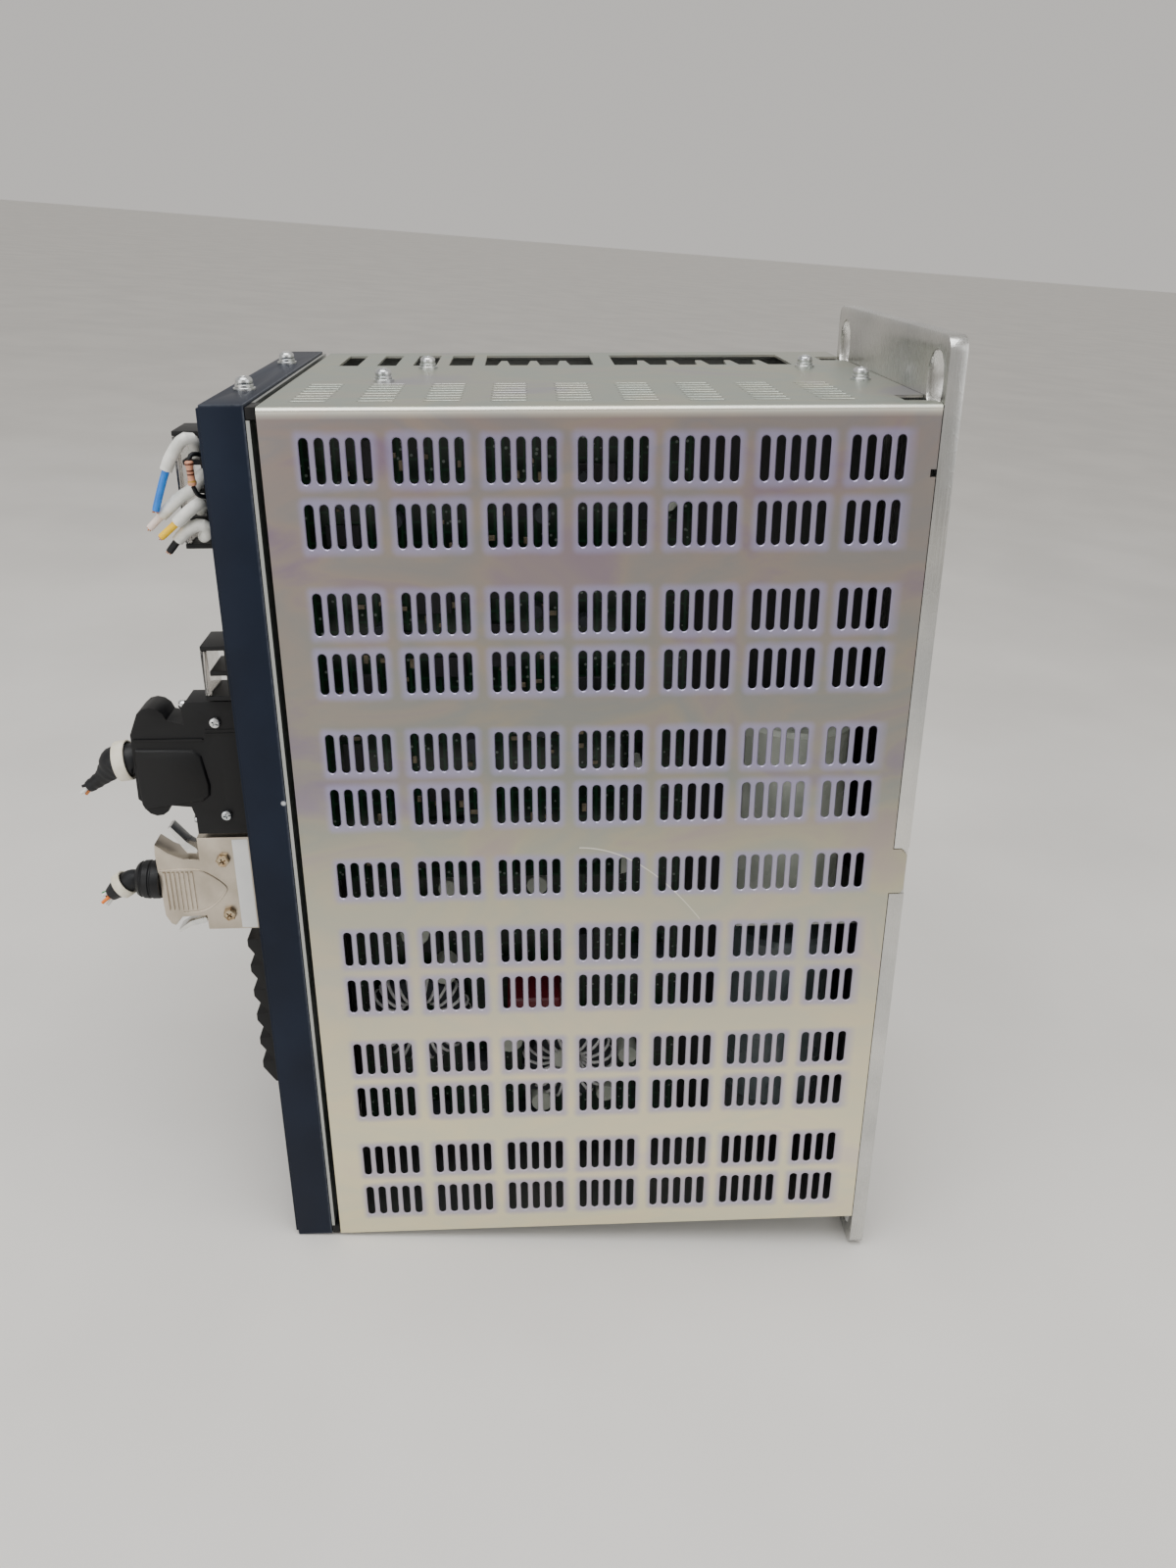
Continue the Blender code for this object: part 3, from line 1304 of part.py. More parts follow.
def main():
    clear_scene()
    skin = make_materials()
    make_base_plate(skin)
    make_side_cover(skin)
    make_chassis(skin)
    make_front_plate(skin)
    make_gap_blocks(skin)
    make_bezel(skin)
    places = column_places()
    make_terminal_block("upper", *places["upper"], UPPER_POLES, skin)
    make_terminal_block("middle", *places["middle"], MIDDLE_POLES, skin)
    make_socket("signal_socket", *socket_span("signal", SIGNAL_SOCKET_H), SIGNAL_T, skin["black"])
    make_socket("encoder_socket", *socket_span("encoder", ENCODER_SOCKET_H), ENCODER_T, skin["black"])
    make_signal_hood(skin)
    make_hood_screws(skin)
    make_jackscrews(skin)
    make_signal_cable(skin)
    make_encoder_hood(skin)
    make_hood_bolts(skin)
    make_latches(skin)
    make_encoder_cable(skin)
    make_power_plug(skin)
    make_leads(skin)
    make_resistor(skin)
    make_partition(skin)
    make_power_module(skin)
    make_heat_sink(skin)
    make_boards(skin)
    make_capacitors(skin)
    make_relay(skin)
    make_chokes(skin)
    make_fan(skin)
    make_top_screws(skin)


main()
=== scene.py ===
# %% [markdown]
# # A variable frequency drive
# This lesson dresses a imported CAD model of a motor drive: a slotted sheet-metal case on a thick
# aluminium plate, with plugs and cut leads on its front. The CAD model gives every place and
# every joint, so a new piece is only ever made where a CAD piece already is.

# %% Load the frame and keep its box
import json
import math

import bmesh
import bpy
from mathutils import Matrix, Vector

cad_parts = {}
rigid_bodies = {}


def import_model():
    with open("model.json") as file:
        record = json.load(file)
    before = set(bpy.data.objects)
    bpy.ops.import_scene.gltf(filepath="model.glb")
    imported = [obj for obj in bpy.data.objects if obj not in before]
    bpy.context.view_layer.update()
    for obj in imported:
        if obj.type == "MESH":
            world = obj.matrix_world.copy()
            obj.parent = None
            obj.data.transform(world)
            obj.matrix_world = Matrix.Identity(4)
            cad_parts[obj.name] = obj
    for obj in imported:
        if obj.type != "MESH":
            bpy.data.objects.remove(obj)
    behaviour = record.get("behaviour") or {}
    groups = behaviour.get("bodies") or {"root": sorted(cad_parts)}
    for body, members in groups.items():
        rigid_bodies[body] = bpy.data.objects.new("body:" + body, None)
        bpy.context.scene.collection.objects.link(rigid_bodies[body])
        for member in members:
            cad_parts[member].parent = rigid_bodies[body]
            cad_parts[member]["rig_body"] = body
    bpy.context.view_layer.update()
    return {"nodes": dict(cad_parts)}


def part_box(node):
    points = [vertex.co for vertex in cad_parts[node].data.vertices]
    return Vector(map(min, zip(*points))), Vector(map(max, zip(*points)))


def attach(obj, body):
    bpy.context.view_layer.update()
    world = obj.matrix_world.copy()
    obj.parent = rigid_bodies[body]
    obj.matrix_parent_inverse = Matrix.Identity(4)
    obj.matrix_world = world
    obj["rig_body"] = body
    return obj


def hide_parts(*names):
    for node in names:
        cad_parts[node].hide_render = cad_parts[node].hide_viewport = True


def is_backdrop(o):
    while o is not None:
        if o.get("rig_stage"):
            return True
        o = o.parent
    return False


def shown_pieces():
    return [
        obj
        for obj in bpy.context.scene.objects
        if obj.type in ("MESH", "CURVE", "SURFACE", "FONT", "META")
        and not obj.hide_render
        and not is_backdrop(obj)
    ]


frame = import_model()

nodes = frame["nodes"]
MM = 0.001

# %% [markdown]
# ## Helpers
# Colours are written as sRGB hex, as a paint chart gives them, but shaders work in linear light, so one
# function turns them. A second adds a node to any tree, with its settings and links. The others start a
# finish, or give a mesh its body and its finish, so that no piece is left out.

# %% Colour and node helpers
def linear(hex_colour):
    """sRGB hex as linear RGBA."""
    parts = [int(hex_colour[at:at + 2], 16) / 255 for at in (1, 3, 5)]
    return (*(p / 12.92 if p <= 0.04045 else ((p + 0.055) / 1.055) ** 2.4 for p in parts), 1.0)


def feed(node, inputs):
    """Fill inputs, each with a value, a socket, or another node's first live output."""
    for name, value in inputs.items():
        socket = node.inputs[name] if isinstance(name, int) else next(
            socket for socket in node.inputs if socket.enabled and socket.name == name)
        if isinstance(value, bpy.types.Node):
            value = next(output for output in value.outputs if output.enabled)
        if isinstance(value, bpy.types.NodeSocket):
            node.id_data.links.new(value, socket)
        else:
            socket.default_value = value


def add(tree, kind, inputs=None, **settings):
    """A new node in any tree."""
    node = tree.nodes.new(kind)
    for name, value in settings.items():
        setattr(node, name, value)
    feed(node, inputs or {})
    return node


def new_finish(name, plain=None):
    """A material with its plain values: itself, its tree, its shader and Object coordinates."""
    finish = bpy.data.materials.new(name)
    finish.use_nodes = True
    tree = finish.node_tree
    shader = tree.nodes["Principled BSDF"]
    feed(shader, plain or {})
    return finish, tree, shader, add(tree, "ShaderNodeTexCoord").outputs["Object"]


def set_stops(ramp, stops):
    """Give a colour ramp its (place, hex colour) stops, in order."""
    elements = ramp.color_ramp.elements
    for at, (place, colour) in ((0, stops[0]), (1, stops[-1])):
        elements[at].position, elements[at].color = place, linear(colour)
    for place, colour in stops[1:-1]:
        elements.new(place).color = linear(colour)


print("linear grey, for example:", linear("#808080")[:3])

# %% Scene and piece helpers
def in_scene(name, data):
    """A new object, linked to the scene."""
    made = bpy.data.objects.new(name, data)
    bpy.context.scene.collection.objects.link(made)
    return made


def box_mm(node):
    """A CAD node's low corner, high corner and middle, in millimetres."""
    low, high = (Vector(corner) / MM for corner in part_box(node))
    return low, high, (low + high) / 2


def settle(name, mesh, finishes, body, replaced=(), smooth=35):
    """Put a finished mesh in the scene, on its body."""
    piece = in_scene(name, mesh)
    if not mesh.materials:  # Geometry Nodes have already set theirs.
        for finish in finishes:
            mesh.materials.append(finish)
    mesh.shade_smooth()
    mesh.set_sharp_from_angle(angle=math.radians(smooth))
    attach(piece, body)
    if replaced:
        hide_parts(*replaced)
    return piece


def mesh_of(bm, name="piece"):
    bmesh.ops.recalc_face_normals(bm, faces=bm.faces)
    mesh = bpy.data.meshes.new(name)
    bm.to_mesh(mesh)
    bm.free()
    return mesh


print("base plate from", box_mm("base_plate")[0], "mm")

# %% Solid helpers: lathe, prism, block, tube
def lathe(bm, profile, sides, place=(0, 0, 0), axis=(0, 0, 1)):
    """Turn (radius, height) points about an axis. All sizes are in millimetres."""
    turn = Vector((0, 0, 1)).rotation_difference(Vector(axis).normalized())
    rings = []
    for radius, height in profile:
        ring = []
        for at in range(sides if radius > 0 else 1):
            angle = math.tau * at / sides
            point = Vector((radius * math.cos(angle), radius * math.sin(angle), height))
            ring.append(bm.verts.new((turn @ point + Vector(place)) * MM))
        rings.append(ring)
    for low, high in zip(rings, rings[1:]):
        for at in range(sides):
            corners = [low[at % len(low)], low[(at + 1) % len(low)],
                       high[(at + 1) % len(high)], high[at % len(high)]]
            unique = list(dict.fromkeys(corners))
            if len(unique) > 2:
                bm.faces.new(unique)


def band(bm, low, high):
    """Quads that join two rings of points."""
    count = len(low)
    return [bm.faces.new((low[at], low[(at + 1) % count], high[(at + 1) % count], high[at]))
            for at in range(count)]


def prism(bm, outline, axis, low, high):
    """An outline of two coordinates, pushed along the third axis."""
    order = {"X": lambda a, b, c: (c, a, b), "Y": lambda a, b, c: (a, c, b),
             "Z": lambda a, b, c: (a, b, c)}[axis]
    ends = [[bm.verts.new(Vector(order(a, b, c)) * MM) for a, b in outline] for c in (low, high)]
    bm.faces.new(ends[0])
    bm.faces.new(ends[1])
    band(bm, *ends)


def block(bm, low, high):
    prism(bm, [(low[0], low[1]), (high[0], low[1]), (high[0], high[1]), (low[0], high[1])],
          "Z", low[2], high[2])


def tube(bm, points, radii, sides=12, finish_of=lambda step: 0):
    """A round bar along points in millimetres, with its own radius at each one."""
    points = [Vector(point) for point in points]
    rings, normal = [], None
    for at, point in enumerate(points):
        along = (points[min(at + 1, len(points) - 1)] - points[max(at - 1, 0)]).normalized()
        normal = along.orthogonal() if normal is None else normal - along * normal.dot(along)
        normal.normalize()
        side = along.cross(normal)
        rings.append([
            bm.verts.new((point + radii[at] * (math.cos(a) * normal + math.sin(a) * side)) * MM)
            for a in (math.tau * step / sides for step in range(sides))
        ])
    for step, (low, high) in enumerate(zip(rings, rings[1:])):
        for face in band(bm, low, high):
            face.material_index = finish_of(step)
    bm.faces.new(rings[0]).material_index = finish_of(0)
    bm.faces.new(rings[-1]).material_index = finish_of(len(rings) - 2)


def flowing(points, spacing):
    """Points a set distance apart on a smooth curve through the given ones."""
    route = [Vector(point) for point in points]
    ends = [2 * route[0] - route[1], *route, 2 * route[-1] - route[-2]]
    fine = []
    for before, start, end, after in zip(ends, ends[1:], ends[2:], ends[3:]):
        for step in range(20):
            t = step / 20
            fine.append(0.5 * (2 * start + (end - before) * t
                               + (2 * before - 5 * start + 4 * end - after) * t * t
                               + (3 * start - before - 3 * end + after) * t * t * t))
    picked = [fine[0]]
    for point in [*fine[1:], route[-1]]:
        if (point - picked[-1]).length >= spacing:
            picked.append(point)
    if (route[-1] - picked[-1]).length < spacing / 2:
        picked.pop()
    return [*picked, route[-1]]


def turned(profile, sides, name):
    """A mesh on the lathe, for screws."""
    bm = bmesh.new()
    lathe(bm, profile, sides)
    return mesh_of(bm, name)


def carved(solid, tool):
    """One closed mesh less another."""
    pair = [in_scene(mesh.name, mesh) for mesh in (solid, tool)]
    knife = pair[0].modifiers.new("carve", "BOOLEAN")
    knife.object = pair[1]
    knife.solver = "EXACT"
    result = bpy.data.meshes.new_from_object(
        pair[0].evaluated_get(bpy.context.evaluated_depsgraph_get()))
    for made in pair:
        bpy.data.objects.remove(made)
    return result


print("solid helpers ready")

# %% [markdown]
# ## Camera, floor and light
# The drive was set down on its lower edges, so it leans back a little. The frame stays upright
# here, and the floor tilts instead: it passes under the base plate's bottom edge and under the
# bezel's. The light is a plain, soft studio set: one wide source above and two weaker ones.

# %% Camera
LENS, SENSOR = 28.81, 36
EYE = (0.5763, -0.16549, 0.26211)
camera_data = bpy.data.cameras.new("view")
camera_data.sensor_fit = "VERTICAL"
camera_data.sensor_height = SENSOR
camera_data.lens = LENS
camera = in_scene("view", camera_data)
forward = Vector((-0.91048, 0.04347, -0.41125)).normalized()
right = Vector((0.0472, 0.99888, 0.0011)).normalized()
turn = Matrix((right, right.cross(forward), -forward)).transposed().to_4x4()
camera.matrix_world = Matrix.Translation(EYE) @ turn
bpy.context.scene.camera = camera
print("camera at", EYE)

# %% Floor, under the plate's and the bezel's lowest edges
plate_low = Vector(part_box("base_plate")[0])
bezel_low, bezel_high = (Vector(corner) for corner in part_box("bezel"))
heel = Vector((0, plate_low.y, plate_low.z))
toe = Vector((0, bezel_low.y, bezel_low.z))
slope = (toe - heel).normalized()
FLOOR_HALF, FLOOR_GAP = 30.0, 0.0003
floor_mesh = bpy.data.meshes.new("floor")
floor_mesh.from_pydata(
    [heel + Vector((side * FLOOR_HALF, 0, -FLOOR_GAP)) + slope * reach * FLOOR_HALF
     for side, reach in ((-1, -1), (1, -1), (1, 1), (-1, 1))], [], [(3, 2, 1, 0)])
floor = in_scene("floor", floor_mesh)
floor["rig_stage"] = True
print("floor slope", round(math.degrees(math.atan2(slope.z, -slope.y)), 2), "degrees")

# %% World and lamps
world = bpy.data.worlds.new("studio")
bpy.context.scene.world = world
world.use_nodes = True
feed(world.node_tree.nodes["Background"], {"Color": linear("#D6D3CF"), "Strength": 0.95})
for lamp_name, place, size, power in (
    ("key", (0.45, -0.30, 1.5), 1.3, 26.0),
    ("front_fill", (1.3, -1.3, 0.5), 1.2, 7.0),
    ("rear_fill", (0.9, 1.1, 0.7), 1.2, 6.0),
):
    lamp_data = bpy.data.lights.new(lamp_name, "AREA")
    lamp_data.size = size
    lamp_data.energy = power
    lamp = in_scene(lamp_name, lamp_data)
    lamp.location = place
    aim = Vector((0, -0.15, 0)) - Vector(place)
    lamp.rotation_euler = aim.to_track_quat("-Z", "Y").to_euler()
    print(lamp_name, power, "W")

# %% [markdown]
# ## Materials
# Each finish starts from the real stuff: what it is, and how its surface was made. Most parts
# share one recipe, a base colour that drifts a little, roughness that varies with handling, and a
# fine relief. The grain size is given in millimetres, and Object coordinates keep it true.

# %% A shared recipe
def grained(name, colours, rough, grain, relief, mottle=25.0, **plain):
    """A finish whose colour, roughness and relief vary. Sizes are in millimetres."""
    finish, tree, shader, place = new_finish(
        name, {socket.replace("_", " "): value for socket, value in plain.items()})
    drift = add(tree, "ShaderNodeTexNoise", {"Vector": place, "Scale": 1000 / mottle, "Detail": 4.0})
    ramp = add(tree, "ShaderNodeValToRGB", {"Fac": drift})
    set_stops(ramp, list(zip((0.35, 0.65), colours)))
    speck = add(tree, "ShaderNodeTexNoise", {"Vector": place, "Scale": 1000 / grain, "Detail": 3.0})
    handled = add(tree, "ShaderNodeMapRange", {
        "Value": drift, "From Min": 0.3, "From Max": 0.7, "To Min": rough[0], "To Max": rough[1]})
    bump = add(tree, "ShaderNodeBump", {"Height": speck, "Strength": 0.5, "Distance": relief * MM})
    feed(shader, {"Base Color": ramp, "Roughness": handled, "Normal": bump})
    return finish


print("recipe ready")

# %% Plastics, rubbers and small metals
# Moulded black polyamide: a spark-eroded mould leaves a fine matt grain.
black_nylon = grained("moulded_black_nylon", ("#08080A", "#0F1012"), (0.42, 0.58), 0.5, 0.05,
                      Specular_IOR_Level=0.3)
# PVC tape and boots are softer, and pick up dust.
black_pvc = grained("black_pvc_tape", ("#08090C", "#14161A"), (0.38, 0.62), 1.2, 0.10, mottle=8.0,
                    Specular_IOR_Level=0.35)
# Marker tube is soft cream PVC, slightly translucent to the eye.
cream_tube = grained("cream_pvc_tube", ("#DAD3BE", "#E9E4D4"), (0.40, 0.55), 0.8, 0.03, mottle=6.0)
# Sleeves over the cut leads are milky white PVC.
milk_sleeve = grained("milky_pvc_sleeve", ("#D5D6D0", "#EEEEE9"), (0.32, 0.5), 0.9, 0.03, mottle=5.0)
blue_pvc, yellow_pvc, orange_pvc, green_pvc = (
    grained(f"{colour}_wire_pvc", shades, (0.3, 0.42), 0.6, 0.02, mottle=5.0)
    for colour, shades in (("blue", ("#1470CF", "#1F86EA")), ("yellow", ("#E9B400", "#F8CB12")),
                           ("orange", ("#D96A12", "#EC7E20")), ("green", ("#1E7B46", "#2C9658"))))
pink_pvc = grained("pale_pink_wire_pvc", ("#E3CFC6", "#F1E4DC"), (0.32, 0.45), 0.6, 0.02, mottle=5.0)
# Bright zinc on small hardware: near-mirror, with the odd dull spot.
bright_zinc = grained("bright_zinc_plate", ("#BFC3C6", "#DCDDDC"), (0.16, 0.34), 0.7, 0.02,
                      mottle=4.0, Metallic=1.0)
# Die-cast hoods get satin nickel, which is warmer than zinc.
satin_nickel = grained("satin_nickel_die_cast", ("#B0A697", "#C9BFB0"), (0.28, 0.40), 0.6, 0.03,
                       mottle=14.0, Metallic=1.0)
# The hood's own bolts are nickel over brass, which shows through where a driver has turned.
brassy_nickel = grained("nickel_on_brass_bolt", ("#9C8466", "#C6B79C"), (0.20, 0.38), 0.5, 0.02,
                        mottle=2.5, Metallic=1.0)
spring_steel = grained("bright_spring_steel", ("#CFD0CE", "#E6E5E0"), (0.24, 0.36), 0.6, 0.02,
                       mottle=6.0, Metallic=1.0)
copper_strand = grained("bare_copper_strand", ("#A8643C", "#C98456"), (0.25, 0.4), 0.4, 0.05,
                        mottle=3.0, Metallic=1.0)
# Zinc-plated chassis sheet, cooler and duller than the chromated cover.
zinc_sheet = grained("zinc_plated_sheet", ("#A6AAA8", "#B2B4B0"), (0.36, 0.46), 1.5, 0.03,
                     mottle=45.0, Metallic=1.0)
# The partition is painted near black as painted shade, so that the case looks dark through its slots.
partition_painted_shade = grained("black_passivated_zinc", ("#1B1D1E", "#2A2C2C"), (0.45, 0.6), 1.5, 0.03,
                     mottle=30.0)
# Extruded aluminium for the heat sink, left as drawn.
drawn_aluminium = grained("drawn_aluminium", ("#C0C4C2", "#D6D9D7"), (0.4, 0.55), 1.0, 0.04,
                          mottle=40.0, Metallic=1.0)
# Heat-shrink film on the capacitors: glossy, pale grey-green.
can_film = grained("capacitor_shrink_film", ("#A7AEA3", "#C6CBC0"), (0.22, 0.34), 2.0, 0.03)
# The lower can wears a darker, blue-grey film.
slate_film = grained("slate_shrink_film", ("#4E5759", "#6B7577"), (0.22, 0.34), 2.0, 0.03)
buff_ceramic = grained("buff_ceramic_parts", ("#5E5646", "#857A63"), (0.4, 0.55), 0.8, 0.02,
                       mottle=5.0)
maroon_case = grained("maroon_relay_case", ("#5A1420", "#74202C"), (0.3, 0.42), 0.8, 0.03)
white_winding = grained("white_winding_wire", ("#C9CACB", "#E6E6E4"), (0.34, 0.5), 0.8, 0.03,
                        mottle=5.0)
dark_ferrite = grained("dark_ferrite", ("#22262A", "#343A40"), (0.5, 0.7), 0.8, 0.06)
matt_chip = grained("matt_chip_epoxy", ("#17181A", "#26282B"), (0.5, 0.65), 0.5, 0.03)
# Blank label: smooth white film.
label_film = grained("blank_white_label_film", ("#DEDFDF", "#ECECEA"), (0.35, 0.5), 3.0, 0.01)
print(len(bpy.data.materials), "finishes so far")

# %% Clear cover: moulded polycarbonate, faintly smoky and rubbed
clear_cover, tree, shader, place = new_finish(
    "clear_polycarbonate", {"Transmission Weight": 1.0, "IOR": 1.585})
smear = add(tree, "ShaderNodeTexNoise", {"Vector": place, "Scale": 220.0, "Detail": 3.0})
smoky = add(tree, "ShaderNodeValToRGB", {"Fac": smear})
set_stops(smoky, ((0.0, "#C9C4BE"), (1.0, "#F2EFEB")))
rubbed = add(tree, "ShaderNodeMapRange", {"Value": smear, "To Min": 0.02, "To Max": 0.16})
feed(shader, {"Base Color": smoky, "Roughness": rubbed})
print(clear_cover.name)

# %% [markdown]
# ## The chromate film
# The cover is mild steel, zinc plated and dipped in a yellow chromate. The film is thin enough to
# show interference colours, so it drifts from grey-tan to straw with pink, green and violet
# clouds, and it turns violet where the liquid clung round each group of slots. The halo is worked
# out from the slots' own spacing: a distance to the nearest group, in millimetres.

# %% Sizes of the side's slots
SLOT_W, SLOT_L = 3.5, 17.5
SLOT_PITCH, GROUP_PITCH, PER_GROUP = 5.85, 35.1, 5
FIRST_SLOT, LAST_SLOT = 16.3, 245.0
# One row lies on the middle line, and the others come in pairs above and below it.
ROW_OFFSETS = (0, 35, 60, 95, 120, 155, 180)
ROW_GAP, PAIR_PITCH = 25.0, 60.0
side_low, side_high = box_mm("side_cover")[:2]
NEAR_X, FAR_X, FRONT_Y = side_high.x, side_low.x, side_low.y
TOP_Z, BASE_Z = side_high.z, side_low.z
MIDDLE_Z = (TOP_Z + BASE_Z) / 2
REAR_Y = -7.3
GROUP_MIDDLE = FRONT_Y + FIRST_SLOT + (PER_GROUP - 1) / 2 * SLOT_PITCH
GROUP_HALF = ((PER_GROUP - 1) * SLOT_PITCH + SLOT_W) / 2
print("side", round(FRONT_Y, 1), round(REAR_Y, 1), round(BASE_Z, 1), round(TOP_Z, 1))

# %% How far a point is from the nearest group of slots
chromate, tree, shader, place = new_finish("yellow_chromate_on_zinc", {"Metallic": 0.92})
in_mm = add(tree, "ShaderNodeVectorMath", {0: place, "Scale": 1000.0}, operation="SCALE")
axes = add(tree, "ShaderNodeSeparateXYZ", {0: in_mm})
cling = add(tree, "ShaderNodeTexNoise", {"Vector": place, "Scale": 55.0, "Detail": 3.0})
known = {"along": axes.outputs["Y"], "up": axes.outputs["Z"], "cling": cling.outputs["Fac"]}
for result, operation, *parts in (
    ("from middle", "SUBTRACT", "up", MIDDLE_Z),
    ("height", "ABSOLUTE", "from middle"),
    ("past first", "SUBTRACT", "height", ROW_OFFSETS[1] / 2),
    ("in pitch", "FLOORED_MODULO", "past first", PAIR_PITCH),
    ("off pair", "SUBTRACT", "in pitch", PAIR_PITCH / 2),
    ("beside pair", "ABSOLUTE", "off pair"),
    ("off row", "SUBTRACT", "beside pair", ROW_GAP / 2),
    ("beside row", "ABSOLUTE", "off row"),
    ("past row", "SUBTRACT", "beside row", SLOT_L / 2),
    ("past middle row", "SUBTRACT", "height", SLOT_L / 2),
    ("nearer row", "MINIMUM", "past row", "past middle row"),
    ("away up", "MAXIMUM", "nearer row", 0.0),
    ("from edge", "SUBTRACT", "along", GROUP_MIDDLE - GROUP_PITCH / 2),
    ("in group pitch", "FLOORED_MODULO", "from edge", GROUP_PITCH),
    ("off group", "SUBTRACT", "in group pitch", GROUP_PITCH / 2),
    ("beside group", "ABSOLUTE", "off group"),
    ("past group", "SUBTRACT", "beside group", GROUP_HALF),
    ("away along", "MAXIMUM", "past group", 0.0),
    ("up squared", "MULTIPLY", "away up", "away up"),
    ("along squared", "MULTIPLY", "away along", "away along"),
    ("squares", "ADD", "up squared", "along squared"),
    ("away", "SQRT", "squares"),
    ("wave", "SUBTRACT", "cling", 0.5),
    ("wave in mm", "MULTIPLY", "wave", 2.6),
    ("wavy", "ADD", "away", "wave in mm"),
):
    known[result] = add(tree, "ShaderNodeMath", {
        at: known.get(part, part) for at, part in enumerate(parts)}, operation=operation)
print("halo round", len(ROW_OFFSETS) * 2 - 1, "rows")

# %% Halo and scratch
known["fading"] = add(tree, "ShaderNodeMapRange", {
    "Value": known["wavy"], "From Min": 0.2, "From Max": 3.8, "To Min": 1.0, "To Max": 0.0},
    interpolation_type="SMOOTHSTEP")
# There are no slots along the front edge or the rear one, so no halo either.
first_edge = FRONT_Y + FIRST_SLOT
known["inside front"] = add(tree, "ShaderNodeMapRange", {
    "Value": known["along"], "From Min": first_edge - 6.0, "From Max": first_edge - 2.0})
known["inside rear"] = add(tree, "ShaderNodeMapRange", {
    "Value": known["along"], "From Min": FRONT_Y + 246.0, "From Max": FRONT_Y + 251.0,
    "To Min": 1.0, "To Max": 0.0})
# One long shallow scratch, bowed like the swing of an arm, crosses the middle rows.
SCRATCH_START, SCRATCH_END = GROUP_MIDDLE + 92.0, GROUP_MIDDLE + 146.0
SCRATCH_TOP, SCRATCH_DROP, SCRATCH_HALF = 12.0, 37.0, 0.28
known["run"] = add(tree, "ShaderNodeMapRange", {
    "Value": known["along"], "From Min": SCRATCH_START, "From Max": SCRATCH_END}, clamp=False)
for result, operation, *parts in (
    ("behind front", "MULTIPLY", "fading", "inside front"),
    ("halo", "MULTIPLY", "behind front", "inside rear"),
    ("violet", "MULTIPLY", "halo", 0.66),
    ("run squared", "MULTIPLY", "run", "run"),
    ("bow", "MULTIPLY", "run squared", SCRATCH_DROP),
    ("below top", "SUBTRACT", "up", SCRATCH_TOP),
    ("off line", "ADD", "below top", "bow"),
    ("beside line", "ABSOLUTE", "off line"),
    ("on line", "LESS_THAN", "beside line", SCRATCH_HALF),
    ("off half", "SUBTRACT", "run", 0.5),
    ("beside half", "ABSOLUTE", "off half"),
    ("in run", "LESS_THAN", "beside half", 0.5),
    ("line", "MULTIPLY", "on line", "in run"),
    ("scratch", "MULTIPLY", "line", 0.75),
):
    known[result] = add(tree, "ShaderNodeMath", {
        at: known.get(part, part) for at, part in enumerate(parts)}, operation=operation)
print("scratch", round(SCRATCH_END - SCRATCH_START), "mm along the side")

# %% Colour of the film: its own tints with painted light, pale at the foot and darker above, and greener on the top sheet
share_up = add(tree, "ShaderNodeMapRange", {
    "Value": known["up"], "From Min": BASE_Z, "From Max": TOP_Z})
# This ramp paints light by height: paler at the foot and darker up the side, over the film's own tints.
tone = add(tree, "ShaderNodeValToRGB", {"Fac": share_up})
set_stops(tone, (
    (0.0, "#E7DFC0"), (0.12, "#E7E0C1"), (0.25, "#DED4B7"), (0.386, "#BFB9AC"), (0.47, "#AFAC9C"),
    (0.62, "#6F7077"), (0.80, "#736B73"), (0.991, "#766674"),
    # The fold's near-white band is a painted highlight.
    (0.9945, "#FBF8EE"), (0.9985, "#F4F3EA"), (1.0, "#9AA39F")))
stretched = add(tree, "ShaderNodeMapping", {"Vector": place, "Scale": (1.0, 0.8, 1.6)})
clouds = add(tree, "ShaderNodeTexNoise", {
    "Vector": stretched, "Scale": 16.0, "Detail": 5.0, "Distortion": 0.8})
film = add(tree, "ShaderNodeValToRGB", {"Fac": clouds})
set_stops(film, ((0.30, "#B49CB8"), (0.42, "#D2C6AA"), (0.52, "#BCC0AE"), (0.62, "#D6CBA6"),
                 (0.72, "#CDB4AE")))
filmed = add(tree, "ShaderNodeMix", {"Factor": 0.30, "A": tone, "B": film}, data_type="RGBA")
violet = add(tree, "ShaderNodeMix", {
    "Factor": known["violet"], "A": filmed, "B": linear("#A29DC2")}, data_type="RGBA")
scratched = add(tree, "ShaderNodeMix", {
    "Factor": known["scratch"], "A": violet, "B": linear("#E9E6DC")}, data_type="RGBA")
print(len(tone.color_ramp.elements), "tones up the sheet")

# %% Gloss and rolling marks
rolled = add(tree, "ShaderNodeMapping", {"Vector": place, "Scale": (1.0, 0.06, 1.0)})
grain = add(tree, "ShaderNodeTexNoise", {"Vector": rolled, "Scale": 900.0, "Detail": 3.0})
satin = add(tree, "ShaderNodeMapRange", {"Value": clouds, "To Min": 0.32, "To Max": 0.50})
# The fold is glossier too: the mask finds it by its painted highlight, as only the fold is that pale.
polish = add(tree, "ShaderNodeMapRange", {
    "Value": tone, "From Min": 0.80, "From Max": 0.90, "To Min": 1.0, "To Max": 0.3})
gloss = add(tree, "ShaderNodeMath", {0: satin, 1: polish}, operation="MULTIPLY")
relief = add(tree, "ShaderNodeBump", {"Height": grain, "Strength": 0.35, "Distance": 0.06 * MM})
feed(shader, {"Base Color": scratched, "Roughness": gloss, "Normal": relief})
print(len(tree.nodes), "nodes in", chromate.name)

# %% [markdown]
# ## The vented sheet
# One sheet makes the near side and the top, bent along the top edge. A press punches its slots in
# groups of five, in thirteen rows, and the die leaves a small rolled lip round each. The slots
# could be cut with a Boolean, but it gives hundreds of slivers and no lip. So Geometry Nodes lay
# a lip on every slot's centre, and Fill Curve closes the flat metal between the lips.

